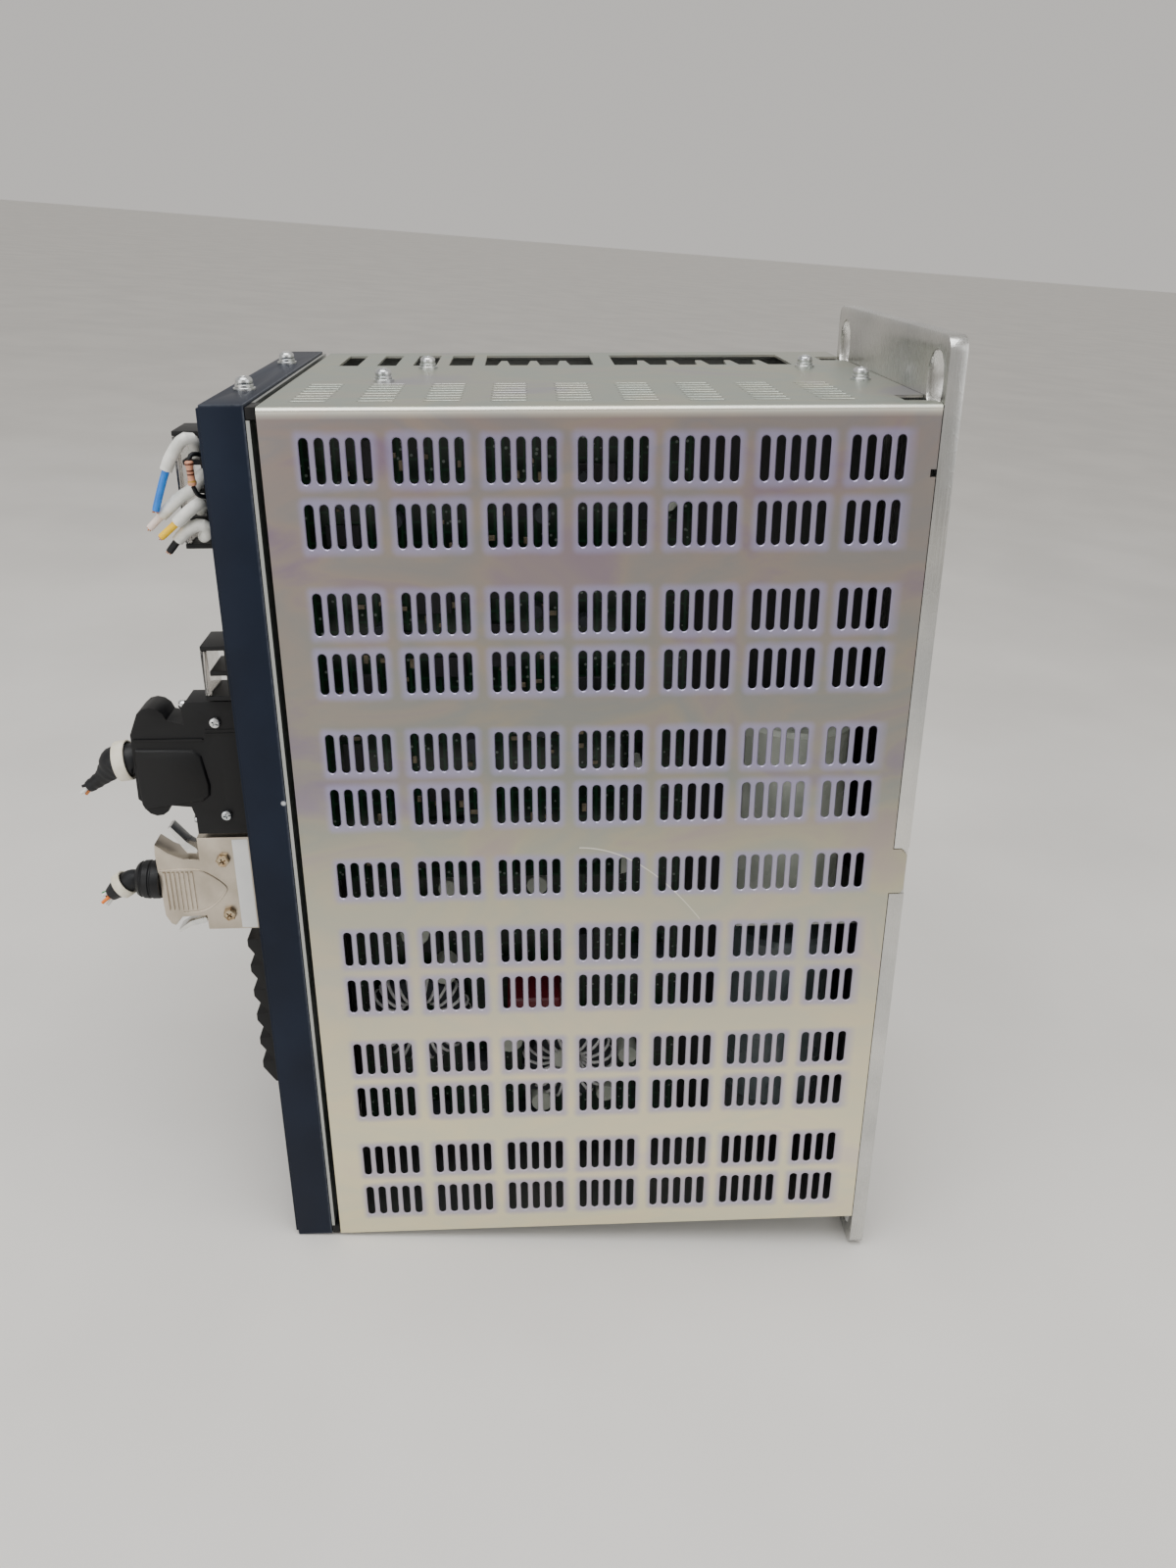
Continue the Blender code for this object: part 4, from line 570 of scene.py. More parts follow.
# %% Slot centres and outlines, each in its own flat plane
def side_slot_places():
    """(along Y, along Z) of every side slot."""
    columns = []
    start = FRONT_Y + FIRST_SLOT
    while start <= FRONT_Y + LAST_SLOT:
        columns += [start + at * SLOT_PITCH for at in range(PER_GROUP)]
        start += GROUP_PITCH
    columns = [y for y in columns if y <= FRONT_Y + LAST_SLOT]
    rows = sorted({MIDDLE_Z + sign * row for row in ROW_OFFSETS for sign in (-1, 1)})
    return [(y, z) for y in columns for z in rows]


def round_hole(x, y, radius, sides=12):
    return [(x + radius * math.cos(math.tau * at / sides),
             y + radius * math.sin(math.tau * at / sides)) for at in range(sides)]


WINDOW_NEAR, WINDOW_FAR = NEAR_X - 142.0, NEAR_X - 188.0
TOOTH_PITCH, TOOTH_REACH, TOOTH_ROOT, TOOTH_TIP = 14.3, 20.0, 3.0, 1.5


def window(start, end):
    """An exhaust window between two distances from the front edge, seen from above."""
    return [(WINDOW_NEAR, FRONT_Y + start), (WINDOW_FAR, FRONT_Y + start),
            (WINDOW_FAR, FRONT_Y + end), (WINDOW_NEAR, FRONT_Y + end)]


def toothed_window(start, end):
    """The same with narrow teeth on its near edge."""
    loop, tip = window(start, end), WINDOW_NEAR - TOOTH_REACH
    tooth = FRONT_Y + end - TOOTH_PITCH
    while tooth - 2 * TOOTH_ROOT > FRONT_Y + start:
        loop += [(WINDOW_NEAR, tooth + TOOTH_ROOT), (tip, tooth + TOOTH_TIP),
                 (tip, tooth - TOOTH_TIP), (WINDOW_NEAR, tooth - TOOTH_ROOT)]
        tooth -= TOOTH_PITCH
    return loop


side_slots = side_slot_places()
top_slots = [(NEAR_X - 15.5 - 7.6 * at, FRONT_Y + 17.0 + 25.6 * group)
             for group in range(9) for at in range(8)]
print(len(side_slots), "side slots,", len(top_slots), "top slots")

# %% Outlines of the two flat panels
BEND = 2.2
tab_low, tab_high = BASE_Z + 188.0, BASE_Z + 210.0
NICK_LOW, NICK_HIGH, NICK_DEPTH = 170.5, 173.5, 2.2
side_outline = [
    (FRONT_Y, BASE_Z), (REAR_Y, BASE_Z), (REAR_Y, tab_low), (REAR_Y + 5.0, tab_low),
    (REAR_Y + 6.5, tab_low + 1.5), (REAR_Y + 6.5, tab_high - 3.0), (REAR_Y + 3.5, tab_high),
    (REAR_Y, tab_high), (REAR_Y, NICK_LOW), (REAR_Y - NICK_DEPTH, NICK_LOW),
    (REAR_Y - NICK_DEPTH, NICK_HIGH), (REAR_Y, NICK_HIGH), (REAR_Y, TOP_Z - BEND),
    (FRONT_Y, TOP_Z - BEND),
]
NOTCH_HALF, NOTCH_DEPTH = 8, 12
notches = []
for bolt in (75.0 - 3.5, -75.0 - 3.5):
    notches += [(bolt + NOTCH_HALF, REAR_Y), (bolt + NOTCH_HALF, REAR_Y - NOTCH_DEPTH),
                (bolt - NOTCH_HALF, REAR_Y - NOTCH_DEPTH), (bolt - NOTCH_HALF, REAR_Y)]
top_outline = [(NEAR_X - BEND, FRONT_Y), (NEAR_X - BEND, REAR_Y), *notches,
               (FAR_X, REAR_Y), (FAR_X, FRONT_Y)]
SCREW_HOLE = 2.3
screw_places = [(10.5, -226.5), (-40.0, -211.0), (-39.5, -34.3), (12.0, -20.3)]
top_holes = [
    *(round_hole(x, y, SCREW_HOLE) for x, y in screw_places),
    *(window(start, end) for start, end in ((12, 21), (30, 39), (47, 58), (64, 75))),
    toothed_window(81.0, 133.0), toothed_window(143.0, 228.5),
]
print(len(top_holes), "top openings")

# %% The lip of one slot: a closed band of three strips
SHEET, LIP = 1.0, 0.35
ROUND_END_POINTS = 7


def slot_loop(width, length):
    """Points of a slot with round ends, its length along the second coordinate."""
    radius, straight = width / 2, (length - width) / 2
    loop = []
    for end, first in ((1, 0), (-1, 180)):
        for at in range(ROUND_END_POINTS):
            angle = math.radians(first + 180 * at / (ROUND_END_POINTS - 1))
            loop.append((radius * math.cos(angle), end * straight + radius * math.sin(angle)))
    return loop


def slot_lip(name, width, length, lip=LIP):
    """Lip mesh: wide at both faces of the sheet, narrow inside."""
    bm = bmesh.new()
    rings = []
    for grow, depth in ((lip, 0.0), (0.0, -lip), (0.0, lip - SHEET), (lip, -SHEET)):
        loop = slot_loop(width + 2 * grow, length + 2 * grow)
        rings.append([bm.verts.new(Vector((u, v, depth)) * MM) for u, v in loop])
    for low, high in zip(rings, rings[1:]):
        band(bm, high, low)
    mesh = bpy.data.meshes.new(name)
    bm.to_mesh(mesh)
    bm.free()
    return mesh


print("lip faces:", len(slot_lip("trial", SLOT_W, SLOT_L).polygons))

# %% Every tree's named inputs, and its end
def new_rule(name, sockets):
    """An empty Geometry Nodes tree with named inputs, and the sockets that they come from."""
    tree = bpy.data.node_groups.new(name, "GeometryNodeTree")
    for title, kind in (("Geometry", "Geometry"), *sockets, ("Finish", "Material")):
        tree.interface.new_socket(title, in_out="INPUT", socket_type=f"NodeSocket{kind}")
    tree.interface.new_socket("Geometry", in_out="OUTPUT", socket_type="NodeSocketGeometry")
    return tree, add(tree, "NodeGroupInput").outputs


def end_rule(tree, geometry, given):
    """A tree ends in real geometry that carries its finish."""
    whole = add(tree, "GeometryNodeRealizeInstances", {"Geometry": geometry})
    dressed = add(tree, "GeometryNodeSetMaterial", {"Geometry": whole, "Material": given["Finish"]})
    add(tree, "NodeGroupOutput", {0: dressed})
    return tree


def baked(carrier_mesh, tree, values):
    """The plain mesh that a tree makes from a carrier, with its inputs set first."""
    carrier = in_scene("carrier", carrier_mesh)
    modifier = carrier.modifiers.new("rule", "NODES")
    modifier.node_group = tree
    for item in tree.interface.items_tree:
        if item.in_out == "INPUT" and item.name in values:
            modifier[item.identifier] = values[item.name]
    bpy.context.view_layer.update()
    made = bpy.data.meshes.new_from_object(
        carrier.evaluated_get(bpy.context.evaluated_depsgraph_get()))
    carrier.modifiers.clear()
    bpy.data.objects.remove(carrier)
    return made


print("rules ready")

# %% The tree: lips on points, flat metal between them
def vented_rule():
    tree, given = new_rule("vented_sheet", (
        ("Slot centres", "Object"), ("Lip", "Object"), ("Edge of one slot", "Object"),
        ("Thickness", "Float")))
    centres, lip, edge = (
        add(tree, "GeometryNodeObjectInfo", {"Object": given[name]}).outputs["Geometry"]
        for name in ("Slot centres", "Lip", "Edge of one slot"))
    lips, edges = (
        add(tree, "GeometryNodeRealizeInstances", {"Geometry": add(
            tree, "GeometryNodeInstanceOnPoints", {"Points": centres, "Instance": shape})})
        for shape in (lip, edge))
    loops = add(tree, "GeometryNodeJoinGeometry", {0: edges})
    feed(loops, {0: given["Geometry"]})
    curves = add(tree, "GeometryNodeMeshToCurve", {"Mesh": loops})
    outer = add(tree, "GeometryNodeFillCurve", {"Curve": curves})
    down = add(tree, "ShaderNodeMath", {0: given["Thickness"], 1: -1.0}, operation="MULTIPLY")
    inner = add(tree, "GeometryNodeTransform", {
        "Geometry": add(tree, "GeometryNodeFlipFaces", {"Mesh": outer}),
        "Translation": add(tree, "ShaderNodeCombineXYZ", {"Z": down})})
    sheet = add(tree, "GeometryNodeJoinGeometry")
    for part in (outer, inner, lips):
        feed(sheet, {0: part})
    closed = add(tree, "GeometryNodeMergeByDistance", {"Geometry": sheet, "Distance": 0.01 * MM})
    return end_rule(tree, closed, given)


def loops_mesh(loops):
    points, edges = [], []
    for loop in loops:
        first = len(points)
        points += [(u * MM, v * MM, 0) for u, v in loop]
        edges += [(first + at, first + (at + 1) % len(loop)) for at in range(len(loop))]
    mesh = bpy.data.meshes.new("loops")
    mesh.from_pydata(points, edges, [])
    return mesh


def vented_panel(slots, width, length, loops, lip=LIP):
    points = bpy.data.meshes.new("centres")
    points.from_pydata([(u * MM, v * MM, 0) for u, v in slots], [], [])
    edge = loops_mesh([slot_loop(width + 2 * lip, length + 2 * lip)])
    helpers = [in_scene("helper", mesh)
               for mesh in (points, slot_lip("lip", width, length, lip), edge)]
    mesh = baked(loops_mesh(loops), vented_rule(), {
        "Slot centres": helpers[0], "Lip": helpers[1], "Edge of one slot": helpers[2],
        "Thickness": SHEET * MM, "Finish": chromate})
    for helper in helpers:
        bpy.data.objects.remove(helper)
    return mesh


TOP_SLOT_W, TOP_SLOT_L, TOP_LIP = 2.8, 14.8, 0.12
side_panel = vented_panel(side_slots, SLOT_W, SLOT_L, [side_outline])
top_panel = vented_panel(
    top_slots, TOP_SLOT_W, TOP_SLOT_L, [top_outline, *top_holes], lip=TOP_LIP)
print("side panel", len(side_panel.polygons), "faces, top panel", len(top_panel.polygons))

# %% Fold the two panels into one sheet
# The side panel's plane (along, up, out) turns to (Y, Z, X); the top one already lies flat.
side_panel.transform(Matrix(((0, 0, 1, NEAR_X * MM), (1, 0, 0, 0), (0, 1, 0, 0), (0, 0, 0, 1))))
top_panel.transform(Matrix.Translation((0, 0, TOP_Z * MM)))
bm = bmesh.new()
bm.from_mesh(side_panel)
bm.from_mesh(top_panel)


def strip(bm, near_points, far_points):
    """Quads between two runs of points, given in metres."""
    for at in range(len(near_points) - 1):
        bm.faces.new([bm.verts.new(point) for point in (
            near_points[at], near_points[at + 1], far_points[at + 1], far_points[at])])


def edge_walls(bm, loop, lift, seam=None):
    """The cut edge of the sheet round one outline, but not along a seam."""
    for at, (first, second) in enumerate(zip(loop, loop[1:] + loop[:1])):
        if at != seam:
            strip(bm, *([lift(*first, depth), lift(*second, depth)] for depth in (0, -SHEET)))


def on_side(u, v, depth):
    return Vector((NEAR_X + depth, u, v)) * MM


def on_top(u, v, depth):
    return Vector((u, v, TOP_Z + depth)) * MM


def bend_arc(radius, y):
    """Points round the fold at one depth of the sheet."""
    steps = 6
    turned_to = [math.pi / 2 * step / steps for step in range(steps + 1)]
    return [Vector((NEAR_X - BEND + radius * math.cos(a), y,
                    TOP_Z - BEND + radius * math.sin(a))) * MM for a in turned_to]


edge_walls(bm, side_outline, on_side, seam=len(side_outline) - 2)
edge_walls(bm, top_outline, on_top, seam=0)
for hole in top_holes:
    edge_walls(bm, hole, on_top)
for radius in (BEND, BEND - SHEET):
    strip(bm, bend_arc(radius, FRONT_Y), bend_arc(radius, REAR_Y))
for y in (FRONT_Y, REAR_Y):
    strip(bm, bend_arc(BEND, y), bend_arc(BEND - SHEET, y))
bmesh.ops.remove_doubles(bm, verts=bm.verts, dist=0.02 * MM)
open_edges = sum(1 for edge in bm.edges if len(edge.link_faces) != 2)
vented_cover = settle(
    "vented_cover", mesh_of(bm), [chromate], "drive", ["side_cover"], 40)
print(len(vented_cover.data.polygons), "faces,", open_edges, "open edges")

# %% [markdown]
# ## Repeated screws
# Every screw on the case is the same pressed pan head with a cross recess, a split spring washer
# and a flat washer. It is modelled once, and Geometry Nodes put a copy on each screw's place. Each
# point carries a turn, so that no two recesses line up, as on a real machine.

# %% One tree for anything that repeats on points
on_points, given = new_rule("repeat_on_points", (("Shape", "Object"), ("Size", "Float")))
shape = add(on_points, "GeometryNodeObjectInfo", {"Object": given["Shape"]})
turn = add(on_points, "GeometryNodeInputNamedAttribute", {"Name": "turn"}, data_type="FLOAT_VECTOR")
laid = add(on_points, "GeometryNodeInstanceOnPoints", {
    "Points": given["Geometry"], "Instance": shape.outputs["Geometry"],
    "Rotation": turn, "Scale": given["Size"]})
end_rule(on_points, laid, given)


def repeat(name, shape, places, finish, body, replaced=()):
    """Copies of a shape. A place is a point in mm, the way its top faces, and a twist in degrees."""
    carrier = bpy.data.meshes.new("places")
    carrier.from_pydata([Vector(point) * MM for point, axis, twist in places], [], [])
    turns = carrier.attributes.new("turn", "FLOAT_VECTOR", "POINT")
    for at, (point, axis, twist) in enumerate(places):
        face = Vector((0, 0, 1)).rotation_difference(Vector(axis).normalized())
        spun = face.to_matrix() @ Matrix.Rotation(math.radians(twist), 3, "Z")
        turns.data[at].vector = spun.to_euler()
    pattern = in_scene("pattern", shape)
    mesh = baked(carrier, on_points, {"Shape": pattern, "Size": 1.0, "Finish": finish})
    bpy.data.objects.remove(pattern)
    return settle(name, mesh, [finish], body, replaced)


print(on_points.name, len(on_points.nodes), "nodes")

# %% Case screws
def cross_cut(radius, width, depth, top):
    """A cross recess to carve from a head, its floor narrower than its mouth."""
    arm = [(radius, -width), (radius, width), (width, width)]
    mouth = [tuple(Matrix.Rotation(math.pi / 2 * quarter, 2) @ Vector(point))
             for quarter in range(4) for point in arm]
    bm = bmesh.new()
    rings = [[bm.verts.new(Vector((u * share, v * share, z)) * MM) for u, v in mouth]
             for share, z in ((0.55, top - depth), (1.1, top + 0.4))]
    bm.faces.new(rings[0])
    bm.faces.new(rings[1])
    band(bm, *rings)
    return mesh_of(bm, "recess")


SCREW_SHANK = 2.8
case_screw = carved(turned([
    (0, -SCREW_SHANK), (2.0, -SCREW_SHANK), (2.0, 0.02), (4.5, 0.02), (4.5, 0.95), (4.35, 1.1),
    (3.55, 1.1), (3.7, 1.25), (3.7, 2.1), (3.55, 2.25), (3.3, 2.3), (3.4, 2.45), (3.5, 3.0),
    (3.45, 4.0), (3.1, 4.7), (2.3, 5.2), (1.2, 5.4), (0, 5.4)], 20, "screw"),
    cross_cut(2.0, 0.42, 1.5, 5.4))
top_screw_nodes = [f"top_screw_{number}" for number in range(1, 7)]
top_places = []
for number, node in enumerate(top_screw_nodes):
    low, high, middle = box_mm(node)
    top_places.append(((middle.x, middle.y, low.z + SCREW_SHANK), (0, 0, 1), 37 * number))
case_screws = repeat(
    "case_screws", case_screw, top_places, bright_zinc, "drive", top_screw_nodes)
print(len(top_places), "case screws,", len(case_screws.data.polygons), "faces")

# %% [markdown]
# ## Parts that keep their CAD shape but need real edges
# Moulded, cast and machined parts have no knife edges: light catches a small radius on each. The
# CAD mesh is loose triangles, so a copy is merged, its flat faces are joined, and its hard edges
# are bevelled. The copy then stands for the CAD node, on the same body.

# %% Rounded copies
def softened(node, name, finish, edge):
    """A copy of a CAD node with small rounded edges, in millimetres."""
    bm = bmesh.new()
    bm.from_mesh(nodes[node].data)
    bmesh.ops.remove_doubles(bm, verts=bm.verts, dist=1e-6)
    bmesh.ops.dissolve_limit(bm, angle_limit=math.radians(1.5), verts=bm.verts, edges=bm.edges)
    hard = [e for e in bm.edges
            if len(e.link_faces) == 2 and e.calc_face_angle(0) > math.radians(32)]
    bmesh.ops.bevel(bm, geom=hard, offset=edge * MM, segments=2, affect="EDGES",
                    clamp_overlap=True, profile=0.6)
    bmesh.ops.triangulate(bm, faces=[face for face in bm.faces if len(face.verts) > 4])
    mesh = bpy.data.meshes.new(name)
    bm.to_mesh(mesh)
    bm.free()
    return settle(name, mesh, [finish], nodes[node]["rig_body"], [node], 30)


print("rounding ready")


# %% [markdown]
# ## Base plate and bezel finishes
# The plate is rolled aluminium: almost a mirror, with fine streaks and light scuffs. The bezel is
# a satin, blue-grey painted moulding, paler where hands have rubbed its edges.

# %% Rolled aluminium plate
rolled_plate, tree, shader, place = new_finish("rolled_aluminium_plate", {"Metallic": 1.0})
mottled = add(tree, "ShaderNodeTexNoise", {"Vector": place, "Scale": 18.0, "Detail": 5.0})
sheen = add(tree, "ShaderNodeValToRGB", {"Fac": mottled})
set_stops(sheen, ((0.35, "#B3B4B3"), (0.65, "#D2D1CD")))
drawn = add(tree, "ShaderNodeMapping", {"Vector": place, "Scale": (1.0, 1.0, 0.04)})
streaks = add(tree, "ShaderNodeTexNoise", {"Vector": drawn, "Scale": 1400.0, "Detail": 4.0})
scuffs = add(tree, "ShaderNodeTexVoronoi", {"Vector": place, "Scale": 160.0},
             feature="DISTANCE_TO_EDGE")
scuffed = add(tree, "ShaderNodeMapRange", {
    "Value": scuffs, "From Min": 0.0, "From Max": 0.05, "To Min": 0.5, "To Max": 0.0})
rough = add(tree, "ShaderNodeMapRange", {"Value": streaks, "To Min": 0.12, "To Max": 0.42})
worn = add(tree, "ShaderNodeMath", {0: scuffed, 1: streaks}, operation="ADD")
relief = add(tree, "ShaderNodeBump", {"Height": worn, "Strength": 0.25, "Distance": 0.12 * MM})
feed(shader, {"Base Color": sheen, "Roughness": rough, "Normal": relief})
plate_piece = softened("base_plate", "mounting_plate", rolled_plate, 0.45)
print(len(plate_piece.data.polygons), "faces on the plate")

# %% Satin blue-grey bezel
bezel_paint, tree, shader, place = new_finish(
    "satin_blue_grey_moulding", {"Specular IOR Level": 0.14})
handled = add(tree, "ShaderNodeTexNoise", {"Vector": place, "Scale": 22.0, "Detail": 5.0})
paint = add(tree, "ShaderNodeValToRGB", {"Fac": handled})
set_stops(paint, ((0.35, "#131926"), (0.68, "#18202F")))
# On a box's face the distance to the nearest edge is the middle one of its distances to the sides.
bezel_middle = (bezel_low + bezel_high) / 2
from_middle = add(tree, "ShaderNodeVectorMath", {0: place, 1: bezel_middle}, operation="SUBTRACT")
unsigned = add(tree, "ShaderNodeVectorMath", {0: from_middle}, operation="ABSOLUTE")
to_sides = add(tree, "ShaderNodeVectorMath", {0: bezel_high - bezel_middle, 1: unsigned},
               operation="SUBTRACT")
sides = add(tree, "ShaderNodeSeparateXYZ", {0: to_sides})
known = {axis: sides.outputs[axis] for axis in "XYZ"}
for result, operation, first, second in (
    ("nearer", "MINIMUM", "X", "Y"), ("further", "MAXIMUM", "X", "Y"),
    ("deeper", "MINIMUM", "further", "Z"), ("to edge", "MAXIMUM", "nearer", "deeper"),
):
    known[result] = add(tree, "ShaderNodeMath", {0: known[first], 1: known[second]},
                        operation=operation)
rubbed = add(tree, "ShaderNodeMapRange", {
    "Value": known["to edge"], "From Min": 0.1 * MM, "From Max": 0.9 * MM,
    "To Min": 0.8, "To Max": 0.0})
chips = add(tree, "ShaderNodeTexNoise", {"Vector": place, "Scale": 420.0, "Detail": 2.0})
chipped = add(tree, "ShaderNodeMath", {0: rubbed, 1: chips}, operation="MULTIPLY")
coat = add(tree, "ShaderNodeMix", {"Factor": chipped, "A": paint, "B": linear("#5B6069")},
           data_type="RGBA")
# One knock on the near rear edge has gone through to the pale undercoat.
knock = Vector((bezel_high.x, bezel_high.y - 1.0 * MM, 36.0 * MM))
from_knock = add(tree, "ShaderNodeVectorMath", {0: place, 1: knock}, operation="DISTANCE")
bare_spot = add(tree, "ShaderNodeMapRange", {
    "Value": from_knock, "From Min": 0.6 * MM, "From Max": 1.3 * MM, "To Min": 1.0, "To Max": 0.0})
knocked = add(tree, "ShaderNodeMix", {"Factor": bare_spot, "A": coat, "B": linear("#B9BCC0")},
              data_type="RGBA")
gloss = add(tree, "ShaderNodeMapRange", {"Value": handled, "To Min": 0.40, "To Max": 0.47})
skin = add(tree, "ShaderNodeTexNoise", {"Vector": place, "Scale": 1600.0, "Detail": 2.0})
relief = add(tree, "ShaderNodeBump", {"Height": skin, "Strength": 0.05, "Distance": 0.03 * MM})
feed(shader, {"Base Color": knocked, "Roughness": gloss, "Normal": relief})
bezel_piece = softened("bezel", "front_bezel", bezel_paint, 0.35)
print(len(bezel_piece.data.polygons), "faces on the bezel")

# %% Black mouldings and the metal hood
for node, name, finish, slot_name, edge in (
    ("signal_hood", "signal_shell", black_nylon, "black_plastic", 0.7),
    ("power_plug", "power_plug_shell", black_nylon, "black_plastic", 0.4),
    ("upper_terminal_block", "upper_barrier_block", black_nylon, "black_plastic", 0.3),
    ("middle_terminal_block", "middle_barrier_block", black_nylon, "black_plastic", 0.3),
    ("gap_block_top", "upper_spacer", black_nylon, "black_plastic", 0.3),
    ("gap_block_bottom", "lower_spacer", black_nylon, "black_plastic", 0.3),
    ("encoder_hood", "encoder_shell", satin_nickel, "nickel", 0.6),
    ("latch_1", "upper_latch_spring", spring_steel, "spring", 0.25),
    ("latch_2", "lower_latch_spring", spring_steel, "spring", 0.25),
):
    piece = softened(node, name, finish, edge)
    print(name, len(piece.data.polygons), "faces")

# %% [markdown]
# ## Details on the black plug shell
# The shell is two moulded halves with a raised pad for a thumb. The pad tapers towards the flange
# and has a thin rib near its top. Two small cross-head screws close the halves, and the long
# jackscrews show their heads beside the grip. The pad is lofted, so that its rim slopes as a
# mould needs, and the screws come from the same tree as the case's.

# %% Raised pad and its ribs
def lofted(bm, outline, low, high, shrink):
    """A raised pad on a face that looks towards +X, its top smaller than its foot."""
    middle = Vector((sum(u for u, v in outline), sum(v for u, v in outline))) / len(outline)
    rings = []
    for x, inset in ((low, 0.0), (high - 0.3, shrink * 0.6), (high, shrink)):
        ring = []
        for u, v in outline:
            away = Vector((u, v)) - middle
            near = middle + away * (1 - inset / away.length)
            ring.append(bm.verts.new(Vector((x, near.x, near.y)) * MM))
        rings.append(ring)
    for lower, upper in zip(rings, rings[1:]):
        band(bm, lower, upper)
    bm.faces.new(rings[0])
    bm.faces.new(rings[-1])


SHELL_FACE = box_mm("signal_hood")[1].x
bm = bmesh.new()
pad = [(-341.2, 48.0), (-316.0, 47.4), (-312.4, 44.5), (-310.0, 30.0), (-310.6, 25.0),
       (-314.0, 22.2), (-340.6, 18.6), (-341.6, 21.0), (-342.0, 45.0)]
lofted(bm, pad, SHELL_FACE - 0.1, SHELL_FACE + 1.3, 1.2)
lofted(bm, [(-341.2, 51.6), (-311.0, 51.6), (-310.4, 52.1), (-311.0, 52.6), (-341.2, 52.6)],
       SHELL_FACE - 0.1, SHELL_FACE + 0.7, 0.25)
for z in (56.2, 54.4):
    lofted(bm, [(-309.5, z), (-293.0, z), (-293.0, z + 0.6), (-309.5, z + 0.6)],
           SHELL_FACE - 0.1, SHELL_FACE + 0.35, 0.15)
thumb_pad = settle("signal_thumb_pad", mesh_of(bm), [black_nylon], "signal_plug")
print(len(thumb_pad.data.polygons), "faces on the pad and ribs")

# %% Screws of the plugs
small_screw = carved(turned([
    (0, -6), (1.2, -6), (1.2, 0.1), (2.5, 0.1), (2.5, 0.9), (2.2, 1.5), (1.4, 1.9), (0, 1.9)],
    18, "small_screw"), cross_cut(1.5, 0.36, 1.0, 1.9))
spots = []
for number in (1, 2):
    middle = box_mm(f"hood_screw_{number}")[2]
    spots.append(((SHELL_FACE, middle.y, middle.z), (1, 0, 0), 20 + 40 * number))
repeat("signal_shell_screws", small_screw, spots, bright_zinc, "signal_plug",
       ["hood_screw_1", "hood_screw_2"])

jack_blank = turned([
    (0, -28), (1.3, -28), (1.3, 0.1), (1.9, 0.1), (2.0, 0.3), (2.0, 2.3), (1.6, 2.9), (0, 2.9)],
    18, "jack")
slot_tool = bmesh.new()
block(slot_tool, (-3, -0.3, 1.9), (3, 0.3, 4))
jack = carved(jack_blank, mesh_of(slot_tool, "slot"))
for number in (1, 2):
    node = f"jackscrew_{number}"
    low, high, middle = box_mm(node)
    spot = ((middle.x, low.y + 2.9, middle.z), (0, -1, 0), 30 * number)
    repeat(f"{node}_steel", jack, [spot], bright_zinc, node, [node])

hex_bolt = carved(turned([
    (0, -5), (1.2, -5), (1.2, 0.1), (3.0, 0.1), (3.1, 0.25), (3.1, 2.1), (2.8, 2.5), (2.3, 2.5),
    (2.1, 2.2), (0, 2.2)], 6, "hex_bolt"), cross_cut(1.6, 0.4, 1.2, 2.2))
spots = []
for number in (1, 2):
    low, high, middle = box_mm(f"hood_bolt_{number}")
    spots.append(((high.x - 2.5, middle.y, middle.z), (1, 0, 0), 24 * number))
repeat("encoder_shell_bolts", hex_bolt, spots, brassy_nickel, "encoder_plug",
       ["hood_bolt_1", "hood_bolt_2"])
print("plug screws placed at", [tuple(round(v, 1) for v in spot[0]) for spot in spots])

# %% [markdown]
# ## Details on the metal plug shell
# This shell is die-cast zinc with satin nickel. Fine grip ribs are cast behind a bullet-shaped
# line, and a blank white label runs down the flange. The ribs repeat, so one rib is laid on points
# by Geometry Nodes. The line is a thin bar bent along the bullet.

# %% Grip ribs, cast line and blank label
CAST_FACE = box_mm("encoder_hood")[1].x
bm = bmesh.new()
lofted(bm, [(-0.55, -10.2), (0.55, -10.2), (0.55, 10.2), (-0.55, 10.2)], -0.1, 0.75, 0.3)
rib = mesh_of(bm, "rib")
rib.transform(Matrix(((0, 1, 0, 0), (0, 0, 1, 0), (1, 0, 0, 0), (0, 0, 0, 1))))
rib_spots = [((CAST_FACE, -337.6 + 2.12 * at, -24.8), (1, 0, 0), 90) for at in range(7)]
ribs = repeat("encoder_grip_ribs", rib, rib_spots, satin_nickel, "encoder_plug")
line = [(-339.6, -14.0), (-330.0, -13.6), (-321.5, -14.2), (-316.0, -17.2), (-311.5, -21.0),
        (-309.6, -24.2), (-311.5, -27.6), (-315.0, -31.4), (-319.0, -34.4), (-324.0, -36.0), (-331.0, -36.4)]
bm = bmesh.new()
tube(bm, flowing([(CAST_FACE + 0.05, u, v) for u, v in line], 1.2), [0.45] * 80, sides=8)
cast_line = settle("encoder_cast_line", mesh_of(bm), [satin_nickel], "encoder_plug")
bm = bmesh.new()
lofted(bm, [(-304.6, -45.0), (-297.4, -45.2), (-297.4, 1.6), (-304.6, 1.4)],
       CAST_FACE - 0.05, CAST_FACE + 0.18, 0.1)
label = settle("blank_label", mesh_of(bm), [label_film], "encoder_plug")
print(len(ribs.data.polygons), "rib faces;", len(cast_line.data.polygons), "line faces;",
      len(label.data.polygons), "label faces")

# %% [markdown]
# ## Cut cable ends
# Both plugs were cut off their cables. What is left is a bulge of black tape or a rubber boot, a
# blank marker ring, and a short fan of cut wires. These stubs are shorter than six diameters and
# hardly bend, so they are solid pieces on their plugs. Tape is a tube whose radius steps at each
# turn.

